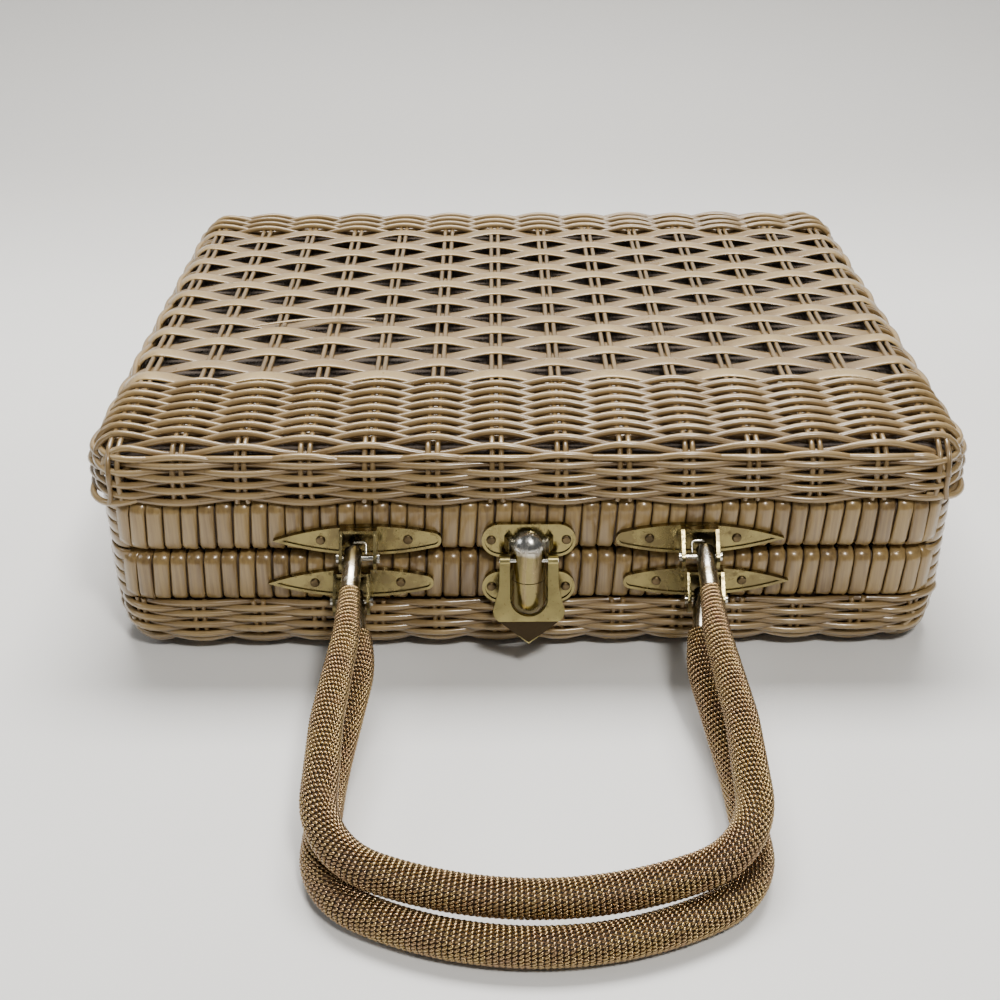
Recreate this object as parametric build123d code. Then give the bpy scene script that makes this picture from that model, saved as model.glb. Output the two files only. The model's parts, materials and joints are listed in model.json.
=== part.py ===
from build123d import *
from math import cos, radians, sin, tan
import os

# Wicker box bag that opens like a clam shell. It lies on its back panel, with the mouth, the
# clasp and the two handles facing -Y, and the lid hinged at the rear.
# X is the width, +Y points from the mouth to the hinges, +Z is up.
# The origin is the centre of the face that the bag lies on. All sizes are in millimetres.

# ---- Driving dimensions: the two woven trays ----
rim_width = 270.0
rim_depth = 233.0
rim_corner = 16.0
tray_height = 38.0
seam_gap = 0.8
lower_bulge = 1.5
lid_bulge_side = 4.5
lid_bulge_front = 2.0
weave_thick = 3.0
basket_corner = 20.0
basket_round = 12.0
edge_room = 0.9

# ---- Rims: two hoops that clamp the woven wall, bound with cane ----
rim_height = 17.8
binding_thick = 0.8
outer_hoop_thick = 2.2
stake_thick = 2.4
inner_hoop_thick = 2.0
lining_thick = 0.8
lining_gap = 0.3
lining_drop = 1.5

# ---- Cast handle plates: a leaf with a hood and two ears ----
leaf_length = 52.5
leaf_height = 10.2
leaf_base = 1.4
leaf_lip = 0.5
leaf_lip_width = 0.9
leaf_nose = 2.5
leaf_nose_depth = 2.0
leaf_peak_shift = 3.3
lid_plate_x = 53.5
lid_plate_z = 44.3
lower_plate_x = 56.3
lower_plate_z = 28.6
bracket_shift = 0.7
bracket_width = 11.6
bracket_wall = 1.0
hood_rise = 4.9
hood_reach = 4.4
pin_drop = 2.7
pin_out = 8.0
pin_radius = 0.8
pin_head_radius = 1.5
pin_head_thick = 0.8
pin_clearance = 0.05
pivot_clearance = 0.08
pin_head_play = 0.1
ear_radius = 3.6
ear_back = 0.4
ear_drop = 1.2
ear_top_angle = 26.0
ear_heel_angle = 236.0
ear_root_drop = 4.1

# ---- Tacks ----
tack_shank_radius = 0.7
tack_head_radius = 1.5
tack_head_thick = 0.7
tack_head_round = 0.56
tack_reach = 6.8
tack_clearance = 0.05
leaf_tack_centre = 2.2
leaf_tack_half_span = 13.6

# ---- Handles ----
ferrule_radius = 2.9
ferrule_wall = 0.6
ferrule_tail = 2.8
ferrule_end = 20.0
sleeve_start = 13.8
sleeve_radius = 4.9
core_radius = 3.9
core_plug_start = 8.0
handle_fit = 0.05
floor_gap = 0.5
lid_handle_x = 54.5
lid_handle_neck_x = 54.3
lid_handle_neck = 30.0
lid_handle_side_x = 57.6
lid_handle_shoulder = 62.0
lid_handle_front = 121.0
lid_handle_front_z = 12.0
lid_handle_crown_radius = 116.0
lid_handle_crown_turn = 20.7
lid_handle_neck_radius = 3.4
lower_handle_x = 54.6
lower_handle_neck_x = 51.4
lower_handle_neck = 26.5
lower_handle_side_x = 57.8
lower_handle_knee = 70.0
lower_handle_front = 130.6
lower_handle_crown_radius = 92.0
lower_handle_crown_turn = 28.8
lower_handle_neck_radius = 4.4
handle_corner_radius = 25.0
handle_neck_bend = 40.0
handle_shoulder_bend = 60.0
bend_room = 0.98
hook_wire_radius = 0.45
hook_bend = 1.2
hook_start = 1.6
hook_back = 4.05
hook_rise = 2.9
hook_side = 4.2
hook_tip_back = 0.9
hook_tip_rise = 0.8

# ---- Clasp ----
clasp_plate_width = 29.4
clasp_plate_height = 11.6
clasp_base = 1.4
clasp_lip = 0.5
clasp_lip_width = 0.9
clasp_lid_z = 44.0
clasp_lower_z = 26.8
clasp_tack_x = 11.75
barrel_radius = 5.8
barrel_out = 2.0
barrel_top_z = 48.0
barrel_split_z = 31.5
barrel_bottom_z = 17.6
barrel_split_gap = 0.3
barrel_back_clearance = 0.4
lug_top_z = 45.6
lug_clearance = 0.5
lug_reach = 5.2
lug_inner_x = 4.4
lug_outer_x = 8.2
lug_tip_x = 6.2
lever_pin_z = 39.0
lever_pin_out = 5.5
lever_pin_radius = 0.7
lever_pin_proud = 0.2
lever_top_half = 9.05
lever_thick = 2.2
lever_eye_radius = 1.6
lever_lean = 12.5
lever_length = 28.2
lever_shoulder = 19.6
lever_slot_length = 12.4
lever_slot_clearance = 0.15
lever_tip_thick = 0.6
lever_waist_half = 9.3
lever_waist = 9.0
lever_wide_half = 11.2
lever_wide = 16.0
lever_corner_half = 9.9
lever_hollow = 0.1
lever_bow = 0.15
tongue_width = 4.0
tongue_thick = 0.8
tongue_reach = 4.5
tongue_root = 5.0
tongue_clearance = 0.5
tongue_out = 2.2

# ---- Rear hinges ----
hinge_x = 72.0
hinge_width = 24.0
hinge_leaf_height = 9.0
hinge_leaf_thick = 0.8
hinge_leaf_edge = 0.2
hinge_knuckle_radius = 1.9
hinge_stand_off = 0.1
hinge_pin_radius = 1.0
hinge_pin_head_radius = 1.5
hinge_pin_head_thick = 0.6
hinge_knuckle_gap = 0.2
hinge_tack_x = 7.5
hinge_tack_rise = 5.6

# ---- Worked-out sizes ----
seam_z = tray_height + seam_gap / 2
total_height = 2 * tray_height + seam_gap
rim_base_z = tray_height - rim_height
wall_outer_inset = binding_thick + outer_hoop_thick
wall_inner_inset = wall_outer_inset + stake_thick
hoop_inner_inset = wall_inner_inset + inner_hoop_thick
rim_thick = hoop_inner_inset + binding_thick
front_y = -rim_depth / 2
rear_y = rim_depth / 2
hinge_out = hinge_knuckle_radius + hinge_stand_off
leaf_front = leaf_base + leaf_lip
lid_pin_z = lid_plate_z - pin_drop
lower_pin_z = lower_plate_z - pin_drop
lower_handle_rest_z = sleeve_radius + floor_gap
clasp_front = clasp_base + clasp_lip
lever_slot_half = barrel_radius + lever_slot_clearance


def save(name, *shapes):
    """Write one node from one or more separate solids."""
    shape = shapes[0] if len(shapes) == 1 else Compound(children=list(shapes))
    shape.label = name
    export_step(shape, f"parts/{name}.step")


def front_plane(x, z, out=0.0):
    """A plane on the front of the rims, facing away from the bag."""
    return Plane(origin=(x, front_y - out, z), x_dir=(1, 0, 0), z_dir=(0, -1, 0))


def rear_plane(x, z, out=0.0):
    """A plane on the rear of the rims, facing away from the bag."""
    return Plane(origin=(x, rear_y + out, z), x_dir=(-1, 0, 0), z_dir=(0, 1, 0))


def front_cross_plane(x, z, out):
    """A plane across the front of the bag, at a distance out from the rims."""
    return Plane(origin=(x, front_y - out, z), x_dir=(0, -1, 0), z_dir=(-1, 0, 0))


def hinge_cross_plane(x):
    """A plane across the hinge line."""
    return Plane(origin=(x, rear_y + hinge_out, seam_z), x_dir=(0, 1, 0), z_dir=(1, 0, 0))


def rod(plane, radius, length):
    """A cylinder that stands on a plane."""
    return extrude(plane * Circle(radius), length)


def cross_rod(plane, radius, length):
    """A cylinder centred on a plane."""
    return extrude(plane * Circle(radius), length / 2, both=True)


def in_lid(shape):
    """Turn a piece of the lower tray over into the lid."""
    return mirror(shape, Plane.XY.offset(seam_z))


# ---- Trays, rims and lining ----

def slab(width, depth, corner, low, high):
    """A block with rounded upright corners."""
    return Pos(0, 0, low) * extrude(RectangleRounded(width, depth, corner), high - low)


def rim_ring(outer_inset, inner_inset, low, high):
    """A ring between two insets from the rim's outer face."""
    outer = slab(rim_width - 2 * outer_inset, rim_depth - 2 * outer_inset,
                 rim_corner - outer_inset, low, high)
    inner = slab(rim_width - 2 * inner_inset, rim_depth - 2 * inner_inset,
                 rim_corner - inner_inset, low - 1, high + 1)
    return outer - inner


def cup(width, depth, corner, low, high, edge):
    """A block whose lower edge is rounded."""
    block = slab(width, depth, corner, low, high)
    return fillet(block.edges().group_by(Axis.Z)[0], min(edge, edge_room * (high - low)))


def basket(side_bulge, front_bulge):
    """The woven tray: floor, rounded wall, shelf and the collar that stands between the hoops."""
    width = rim_width + 2 * side_bulge
    depth = rim_depth + 2 * front_bulge
    outer = cup(width, depth, basket_corner, 0, rim_base_z, basket_round)
    inner = cup(width - 2 * weave_thick, depth - 2 * weave_thick, basket_corner - weave_thick,
                weave_thick, rim_base_z - weave_thick, basket_round - weave_thick)
    mouth = slab(rim_width - 2 * wall_inner_inset, rim_depth - 2 * wall_inner_inset,
                 rim_corner - wall_inner_inset, rim_base_z - weave_thick - 1, rim_base_z + 1)
    collar = rim_ring(wall_outer_inset, wall_inner_inset,
                      rim_base_z - weave_thick / 2, tray_height - binding_thick)
    return outer - inner - mouth + collar


def outer_hoop():
    return rim_ring(binding_thick, wall_outer_inset,
                    rim_base_z + binding_thick, tray_height - binding_thick)


def inner_hoop():
    return rim_ring(wall_inner_inset, hoop_inner_inset,
                    rim_base_z + binding_thick, tray_height - binding_thick)


def binding():
    """Cane wound round both hoops: a channel that is open only where the wall comes in."""
    body = rim_ring(0, rim_thick, rim_base_z, tray_height)
    hoops = rim_ring(binding_thick, hoop_inner_inset,
                     rim_base_z + binding_thick, tray_height - binding_thick)
    wall = rim_ring(wall_outer_inset, wall_inner_inset, rim_base_z - 1, tray_height - binding_thick)
    return body - hoops - wall


def lining():
    """A thin tray of cloth that covers the floor and the wall."""
    inset = rim_thick + lining_gap
    corner = rim_corner - inset
    low = weave_thick + lining_gap
    high = tray_height - lining_drop
    outer = cup(rim_width - 2 * inset, rim_depth - 2 * inset, corner, low, high,
                corner - lining_thick)
    inset += lining_thick
    inner = cup(rim_width - 2 * inset, rim_depth - 2 * inset, corner - lining_thick,
                low + lining_thick, high + 1, corner - 2 * lining_thick)
    return outer - inner


# ---- Tacks ----

def tack(plane, reach):
    """A domed tack whose head sits on the plane and whose shank goes down through it."""
    head = rod(plane, tack_head_radius, tack_head_thick)
    face_edge = head.edges().sort_by(Axis.Y)[-1 if plane.z_dir.Y > 0 else 0]
    head = fillet(face_edge, tack_head_round)
    shank = extrude(plane * Circle(tack_shank_radius), -reach)
    return head + shank


def tack_hole(plane):
    """The hole that a tack's shank needs, through whatever it fastens."""
    return cross_rod(plane, tack_shank_radius + tack_clearance, 2 * (tack_reach + tack_clearance))


def leaf_tack_xs(plate_x, side):
    """Where the two tacks of a handle plate are."""
    centre = plate_x - leaf_tack_centre
    return [side * (centre - leaf_tack_half_span), side * (centre + leaf_tack_half_span)]


def front_tack_spots(plate_x, plate_z, clasp_z):
    """Every front tack of one half, as its x and z."""
    spots = [(x, plate_z) for side in (-1, 1) for x in leaf_tack_xs(plate_x, side)]
    return spots + [(-clasp_tack_x, clasp_z), (clasp_tack_x, clasp_z)]


def hinge_tack_spots(side_of_seam):
    """Every rear tack of one half, as its x and z."""
    z = seam_z + side_of_seam * hinge_tack_rise
    return [(s * hinge_x + t * hinge_tack_x, z) for s in (-1, 1) for t in (-1, 1)]


def drill(shape, front_spots, rear_spots):
    """Bore the tack holes through a piece of a rim."""
    for x, z in front_spots:
        shape -= tack_hole(front_plane(x, z))
    for x, z in rear_spots:
        shape -= tack_hole(rear_plane(x, z))
    return shape


# ---- Handle plates and pins ----

def leaf_outline():
    """The leaf seen from the front: pointed at +X and rounded at -X."""
    half = leaf_length / 2
    top = leaf_height / 2
    back = -half + leaf_nose_depth
    upper = ThreePointArc((back, leaf_nose), (-leaf_peak_shift, top), (half, 0))
    lower = ThreePointArc((half, 0), (-leaf_peak_shift, -top), (back, -leaf_nose))
    nose = ThreePointArc((back, -leaf_nose), (-half, 0), (back, leaf_nose))
    return make_face(upper + lower + nose)


def leaf_bracket():
    """The leaf with its hood and ears, in a frame whose Y is up and whose Z points outward."""
    outline = leaf_outline()
    leaf = extrude(outline, leaf_front)
    pocket = extrude(Pos(0, 0, leaf_base) * offset(outline, -leaf_lip_width), leaf_lip + 1)
    plate = leaf - pocket
    inner = bracket_width - 2 * bracket_wall
    across = Plane(origin=(-bracket_shift, 0, 0), x_dir=(0, 0, 1), z_dir=(-1, 0, 0))
    lobe = Vector(pin_out - ear_back, -pin_drop - ear_drop)
    top, heel = [lobe + Vector(ear_radius * cos(radians(angle)), ear_radius * sin(radians(angle)))
                 for angle in (ear_top_angle, ear_heel_angle)]
    ear = make_face(Polyline((0, hood_rise), (hood_reach, hood_rise), top, lobe, heel,
                             (0, -ear_root_drop), close=True))
    ear += Pos(lobe.X, lobe.Y) * Circle(ear_radius)
    cheeks = extrude(across * ear, bracket_width / 2, both=True)
    cheeks -= extrude(across * Pos(pin_out, 0) * Rectangle(2 * pin_out, leaf_length), inner / 2,
                      both=True)
    hood = extrude(across * Pos(hood_reach / 2, hood_rise - bracket_wall / 2)
                   * Rectangle(hood_reach, bracket_wall), bracket_width / 2, both=True)
    cast = plate + cheeks + hood
    cast -= cross_rod(across * Pos(pin_out, -pin_drop), pin_radius + pin_clearance,
                      bracket_width + 2)
    for x in (-leaf_tack_half_span, leaf_tack_half_span):
        cast -= rod(Plane.XY * Pos(x - leaf_tack_centre, 0), tack_shank_radius + tack_clearance,
                    leaf_front + 1)
    return cast


def handle_plate(side, plate_x, plate_z):
    """One cast plate on the front of the rim; the left one is the mirror image."""
    cast = front_plane(plate_x, plate_z) * leaf_bracket()
    return cast if side > 0 else mirror(cast, Plane.YZ)


def handle_pin(side, plate_x, pin_z):
    """The cross pin of one bracket, with a round head outside each ear."""
    x = side * (plate_x - bracket_shift)
    plane = front_cross_plane(x, pin_z, pin_out)
    reach = bracket_width / 2 + pin_head_play
    pin = cross_rod(plane, pin_radius, 2 * reach)
    for direction in (-1, 1):
        head_plane = plane.offset(direction * reach)
        pin += extrude(head_plane * Circle(pin_head_radius), direction * pin_head_thick)
    return pin


# ---- Handles ----

def rounded_wire(points, bends):
    """Straight runs joined by tangent arcs, with one bend radius for each inner point.

    Where two bends want more than the run between them has, both are made tighter.
    """
    corners = [Vector(*p) for p in points]
    runs = [after - before for before, after in zip(corners, corners[1:])]
    half_turns = [radians(run.get_angle(following)) / 2 for run, following in zip(runs, runs[1:])]
    wanted = [0] + [bend * tan(turn) for bend, turn in zip(bends, half_turns)] + [0]
    shares = [min(1, bend_room * run.length / (first + last))
              for run, first, last in zip(runs, wanted, wanted[1:])]
    edges = []
    start = corners[0]
    for index, turn in enumerate(half_turns):
        corner = corners[index + 1]
        reach = wanted[index + 1] * min(shares[index], shares[index + 1])
        back = -runs[index].normalized()
        ahead = runs[index + 1].normalized()
        bend = reach / tan(turn)
        middle = corner + (back + ahead).normalized() * (bend / cos(turn) - bend)
        edges.append(Line(start, corner + back * reach))
        edges.append(ThreePointArc(corner + back * reach, middle, corner + ahead * reach))
        start = corner + ahead * reach
    edges.append(Line(start, corners[-1]))
    return Wire(edges)


def handle_half(pin, neck_x, neck, shoulder, crown, crown_radius, crown_turn):
    """Corners of the right half of a handle's centre line: neck, shoulder, corner and peak.

    The neck lies on the straight run that leaves the pin toward the shoulder. From the
    shoulder the handle runs level with its crown, and turns there in two arcs.
    """
    slope = Vector(0, shoulder.Y - pin.Y, shoulder.Z - pin.Z).normalized()
    neck_point = Vector(neck_x, pin.Y, pin.Z) + slope * neck
    run = Vector(0, crown.Y - shoulder.Y, crown.Z - shoulder.Z).normalized()
    turn = radians(crown_turn)
    peak = crown + run * (crown_radius / cos(turn) - crown_radius)
    corner = peak - run * (shoulder.X * tan(turn)) + Vector(shoulder.X, 0, 0)
    return [neck_point, shoulder, corner, peak]


def at_front(x, out, z):
    """A point given by its distance out from the front of the rims."""
    return Vector(x, front_y - out, z)


def lid_handle_half():
    pin = at_front(lid_handle_x, pin_out, lid_pin_z)
    crown = at_front(0, lid_handle_front, lid_handle_front_z)
    slope = (crown - Vector(0, pin.Y, pin.Z)).normalized()
    shoulder = Vector(lid_handle_side_x, pin.Y, pin.Z) + slope * lid_handle_shoulder
    half = handle_half(pin, lid_handle_neck_x, lid_handle_neck, shoulder, crown,
                       lid_handle_crown_radius, lid_handle_crown_turn)
    return pin, half


def lower_handle_half():
    pin = at_front(lower_handle_x, pin_out, lower_pin_z)
    crown = at_front(0, lower_handle_front, lower_handle_rest_z)
    knee = at_front(lower_handle_side_x, lower_handle_knee, lower_handle_rest_z)
    half = handle_half(pin, lower_handle_neck_x, lower_handle_neck, knee, crown,
                       lower_handle_crown_radius, lower_handle_crown_turn)
    return pin, half


def ferrule_plane(pin, half, distance):
    """A plane across a handle's straight right end, facing along it, measured from the pin."""
    ahead = (half[0] - pin).normalized()
    return Plane(origin=pin + ahead * distance, x_dir=(1, 0, 0), z_dir=ahead)


def handle_wire(pin, half):
    """The centre line from the left ferrule's end round to the right one's."""
    start = ferrule_plane(pin, half, ferrule_end).origin
    right = [start] + half[:-1]
    left = [Vector(-p.X, p.Y, p.Z) for p in right]
    bends = [handle_neck_bend, handle_shoulder_bend, handle_corner_radius]
    crown = lid_handle_crown_radius if pin.Z > seam_z else lower_handle_crown_radius
    return rounded_wire(left + [half[-1]] + right[::-1], bends + [crown] + bends[::-1])


def swept_rod(wire, radius):
    start = Plane(origin=wire @ 0, z_dir=wire % 0)
    return sweep(start * Circle(radius), path=wire)


def both_ends(shape):
    """A piece at the right end and its mirror image at the left."""
    return [mirror(shape, Plane.YZ), shape]


def ferrule(pin, half):
    """The metal tube that swings on the cross pin."""
    plane = ferrule_plane(pin, half, -ferrule_tail)
    length = ferrule_tail + ferrule_end
    tube = rod(plane, ferrule_radius, length) - rod(plane, ferrule_radius - ferrule_wall, length)
    bore = cross_rod(Plane(origin=pin, z_dir=(1, 0, 0)), pin_radius + pivot_clearance,
                     4 * ferrule_radius)
    return tube - bore


def core(pin, half):
    """The plastic core, with a thinner plug at each end that fills the ferrule."""
    body = swept_rod(handle_wire(pin, half), core_radius)
    plane = ferrule_plane(pin, half, core_plug_start)
    plug = rod(plane, ferrule_radius - ferrule_wall - handle_fit, ferrule_end - core_plug_start)
    for piece in both_ends(plug):
        body += piece
    return body


def sleeve(pin, half, neck_radius):
    """The mesh sleeve round the core, drawn in over the ends of the ferrules."""
    wire = handle_wire(pin, half)
    body = swept_rod(wire, sleeve_radius)
    hollow = swept_rod(wire, core_radius + handle_fit)
    length = ferrule_end - sleeve_start
    neck_plane = ferrule_plane(pin, half, sleeve_start + length / 2)
    neck = neck_plane * Cone(neck_radius, sleeve_radius, length)
    mouth = rod(ferrule_plane(pin, half, sleeve_start - 1), ferrule_radius + handle_fit, length + 1)
    for piece in both_ends(neck):
        body += piece
    body -= hollow
    for piece in both_ends(mouth):
        body -= piece
    return body


def hook(pin, half):
    """The wire that leaves the ferrule's tail and hooks over the cross pin beside it.

    It takes the wider side of the bracket: the inner one on the lid, the outer one below.
    """
    plane = ferrule_plane(pin, half, 0)
    side = -hook_side if pin.Z > seam_z else hook_side
    local = [(0, 0, -hook_start), (0, 0, -hook_back), (0, hook_rise, -hook_back),
             (side, hook_rise, -hook_back), (side, hook_tip_rise, -hook_tip_back)]
    points = [plane.from_local_coords(p) for p in local]
    return swept_rod(rounded_wire(points, [hook_bend] * 3), hook_wire_radius)


# ---- Clasp ----

def clasp_plate():
    """A stadium plate with a raised lip, in a frame whose Z points outward."""
    outline = SlotOverall(clasp_plate_width, clasp_plate_height)
    plate = extrude(outline, clasp_front)
    return plate - extrude(Pos(0, 0, clasp_base) * offset(outline, -clasp_lip_width), clasp_lip + 1)


def clasp_tack_holes(z):
    holes = [tack_hole(front_plane(x, z)) for x in (-clasp_tack_x, clasp_tack_x)]
    return holes[0] + holes[1]


def barrel(low, high, dome_z):
    """One half of the split barrel: an upright cylinder that ends in a dome."""
    axis = Pos(0, front_y - barrel_out, 0)
    middle = (low + high) / 2
    body = axis * Pos(0, 0, middle) * Cylinder(barrel_radius, high - low)
    return body + axis * Pos(0, 0, dome_z) * Sphere(barrel_radius)


def behind(out, low, high):
    """Everything behind a distance out from the rims, between two heights."""
    reach = clasp_plate_width
    return Pos(0, front_y - out + reach / 2, (low + high) / 2) * Box(reach, reach, high - low)


def tongue_block(low, high, clearance):
    """The space of the spring tongue, grown by a clearance."""
    centre = Pos(0, front_y - barrel_out - tongue_out, (low + high) / 2)
    return centre * Box(tongue_width + 2 * clearance, tongue_thick + 2 * clearance, high - low)


def clasp_tongue():
    return tongue_block(barrel_split_z - tongue_reach, barrel_split_z + tongue_root, 0)


def lever_bore(clearance, length):
    plane = front_cross_plane(0, lever_pin_z, lever_pin_out)
    return cross_rod(plane, lever_pin_radius + clearance, length)


def lug(side):
    """A three-cornered rib between the plate and the barrel, above one arm of the lever."""
    low = lever_pin_z + lever_eye_radius + lug_clearance
    plan = make_face(Polyline((side * lug_inner_x, front_y), (side * lug_outer_x, front_y),
                              (side * lug_tip_x, front_y - lug_reach), close=True))
    return Pos(0, 0, low) * extrude(plan, lug_top_z - low)


def clasp_lid_casting():
    """The lid's plate, the upper half of the barrel and the two ribs."""
    low = barrel_split_z + barrel_split_gap / 2
    plate_bottom = clasp_lid_z - clasp_plate_height / 2
    half = barrel(low, barrel_top_z - barrel_radius, barrel_top_z - barrel_radius)
    half -= behind(0, plate_bottom - 1, barrel_top_z + 1)
    half -= behind(clasp_front + barrel_back_clearance, low - 1, plate_bottom)
    cast = front_plane(0, clasp_lid_z) * clasp_plate() + half + lug(-1) + lug(1)
    cast -= clasp_tack_holes(clasp_lid_z)
    cast -= lever_bore(pin_clearance, 4 * barrel_radius)
    return cast - tongue_block(low - 1, barrel_split_z + tongue_root + handle_fit, handle_fit)


def clasp_lower_casting():
    """The lower plate and the lower half of the barrel, with the tongue's slot."""
    high = barrel_split_z - barrel_split_gap / 2
    plate_bottom = clasp_lower_z - clasp_plate_height / 2
    half = barrel(barrel_bottom_z + barrel_radius, high, barrel_bottom_z + barrel_radius)
    half -= behind(0, plate_bottom, high + 1)
    half -= behind(clasp_front, barrel_bottom_z - 1, plate_bottom)
    cast = front_plane(0, clasp_lower_z) * clasp_plate() + half
    cast -= clasp_tack_holes(clasp_lower_z)
    bottom = barrel_split_z - tongue_reach - tongue_clearance
    return cast - tongue_block(bottom, high + 1, tongue_clearance)


def lever_plane():
    """The lever's own plane: X along its pivot, Y up the lever, Z outward."""
    lean = radians(lever_lean)
    origin = (0, front_y - lever_pin_out, lever_pin_z)
    return Plane(origin=origin, x_dir=(1, 0, 0), z_dir=(0, -cos(lean), sin(lean)))


def clasp_lever():
    """The forked lever: two arms that hang beside the barrel and meet in a bevelled point."""
    half = lever_thick / 2
    right = Line((lever_top_half, 0), (lever_waist_half, -lever_waist))
    right += ThreePointArc((lever_waist_half, -lever_waist),
                           ((lever_waist_half + lever_wide_half) / 2 - lever_hollow,
                            -(lever_waist + lever_wide) / 2),
                           (lever_wide_half, -lever_wide))
    right += ThreePointArc((lever_wide_half, -lever_wide),
                           (lever_wide_half - lever_bow, -(lever_wide + lever_shoulder) / 2),
                           (lever_corner_half, -lever_shoulder))
    right += Line((lever_corner_half, -lever_shoulder), (0, -lever_length))
    left = mirror(right, Plane.YZ)
    outline = make_face(right + left + Line((-lever_top_half, 0), (lever_top_half, 0)))
    outline -= Pos(0, -lever_slot_length / 2) * Rectangle(2 * lever_slot_half, lever_slot_length)
    outline -= Pos(0, -lever_slot_length) * Circle(lever_slot_half)
    blade = extrude(outline, half, both=True)
    across = Plane(origin=(0, 0, 0), x_dir=(0, 1, 0), z_dir=(1, 0, 0))
    bevel = make_face(Polyline((-lever_shoulder, half), (-lever_length - 1, half),
                               (-lever_length - 1, lever_tip_thick - half - bevel_overrun()),
                               close=True))
    blade -= extrude(across * bevel, 2 * lever_wide_half, both=True)
    arm_width = lever_top_half - lever_slot_half
    for side in (-1, 1):
        x = side * (lever_slot_half + arm_width / 2)
        eye_plane = Plane(origin=(x, 0, 0), x_dir=(0, 1, 0), z_dir=(1, 0, 0))
        blade += cross_rod(eye_plane, lever_eye_radius, arm_width)
    return lever_plane() * blade - lever_bore(pivot_clearance, 4 * lever_wide_half)


def bevel_overrun():
    """How much deeper the bevel's plane is 1 mm past the tip."""
    return (lever_thick - lever_tip_thick) / (lever_length - lever_shoulder)


# ---- Rear hinges ----

def hinge_segment(index):
    """Centre offset and width of one of the three knuckles, along the pin."""
    width = hinge_width / 3
    return (index - 1) * width, width - 2 * hinge_knuckle_gap


def knuckles(x, indices):
    """The rolled knuckles of one leaf."""
    rolls = []
    for index in indices:
        shift, width = hinge_segment(index)
        rolls.append(cross_rod(hinge_cross_plane(x + shift), hinge_knuckle_radius, width))
    return rolls


def hinge_leaf(x, own, other):
    """A leaf on the lower rim, with its own knuckles and room for the other leaf's."""
    middle = tray_height - hinge_leaf_edge - hinge_leaf_height / 2
    leaf = extrude(rear_plane(x, middle) * Rectangle(hinge_width, hinge_leaf_height),
                   hinge_leaf_thick)
    for roll in knuckles(x, own):
        leaf += roll
    for index in other:
        shift = hinge_segment(index)[0]
        leaf -= cross_rod(hinge_cross_plane(x + shift), hinge_knuckle_radius + hinge_knuckle_gap,
                          hinge_width / 3)
    leaf -= cross_rod(hinge_cross_plane(x), hinge_pin_radius + pivot_clearance, 2 * hinge_width)
    for shift in (-hinge_tack_x, hinge_tack_x):
        leaf -= tack_hole(rear_plane(x + shift, seam_z - hinge_tack_rise))
    return leaf


def hinge_pin(x):
    plane = hinge_cross_plane(x)
    reach = hinge_width / 2 + pin_head_play
    pin = cross_rod(plane, hinge_pin_radius, 2 * reach)
    for direction in (-1, 1):
        head_plane = plane.offset(direction * reach)
        pin += extrude(head_plane * Circle(hinge_pin_head_radius),
                       direction * hinge_pin_head_thick)
    return pin


# ---- Write every node ----

def write_half(name, basket_shape, plate_x, plate_z, clasp_z):
    """The pieces of one tray; those of the lid are modelled as a lower tray and turned over."""
    is_lid = name == "lid"
    front = front_tack_spots(plate_x, plate_z, clasp_z)
    rear = hinge_tack_spots(1 if is_lid else -1)
    rim_pieces = {"basket": basket_shape, "outer_hoop": outer_hoop(),
                  "inner_hoop": inner_hoop(), "binding": binding()}
    for word, shape in rim_pieces.items():
        save(f"{name}_{word}", drill(in_lid(shape) if is_lid else shape, front, rear))
    save(f"{name}_lining", in_lid(lining()) if is_lid else lining())
    for side, word in ((-1, "left"), (1, "right")):
        save(f"{name}_plate_{word}", handle_plate(side, plate_x, plate_z))
        save(f"{name}_pin_{word}", handle_pin(side, plate_x, plate_z - pin_drop))
    front_heads = [tack(front_plane(x, z, clasp_base), tack_reach + clasp_base) for x, z in front]
    save(f"{name}_front_tacks", *front_heads)
    rear_heads = [tack(rear_plane(x, z, hinge_leaf_thick), tack_reach + hinge_leaf_thick)
                  for x, z in rear]
    save(f"{name}_rear_tacks", *rear_heads)


def write_handle(name, pin, half, neck_radius):
    save(f"{name}_handle_sleeve", sleeve(pin, half, neck_radius))
    save(f"{name}_handle_core", core(pin, half))
    left, right = both_ends(ferrule(pin, half))
    save(f"{name}_ferrule_left", left)
    save(f"{name}_ferrule_right", right)
    save(f"{name}_handle_hooks", *both_ends(hook(pin, half)))


def main():
    os.makedirs("parts", exist_ok=True)
    write_half("lower", basket(lower_bulge, lower_bulge), lower_plate_x, lower_plate_z,
               clasp_lower_z)
    write_half("lid", basket(lid_bulge_side, lid_bulge_front), lid_plate_x, lid_plate_z,
               clasp_lid_z)
    write_handle("lid", *lid_handle_half(), lid_handle_neck_radius)
    write_handle("lower", *lower_handle_half(), lower_handle_neck_radius)
    save("clasp_lid_plate", clasp_lid_casting())
    save("clasp_lower_plate", clasp_lower_casting())
    save("clasp_lever", clasp_lever())
    save("clasp_lever_pin", lever_bore(0, 2 * (lever_top_half + lever_pin_proud)))
    save("clasp_tongue", clasp_tongue())
    for side, word in ((-1, "left"), (1, "right")):
        save(f"hinge_lower_leaf_{word}", hinge_leaf(side * hinge_x, (0, 2), (1,)))
        save(f"hinge_lid_leaf_{word}", in_lid(hinge_leaf(side * hinge_x, (1,), (0, 2))))
        save(f"hinge_pin_{word}", hinge_pin(side * hinge_x))


main()
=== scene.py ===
import json
from math import cos, pi, radians, sin, sqrt, tan

import bpy
import numpy as np
from mathutils import Matrix, Vector


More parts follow.
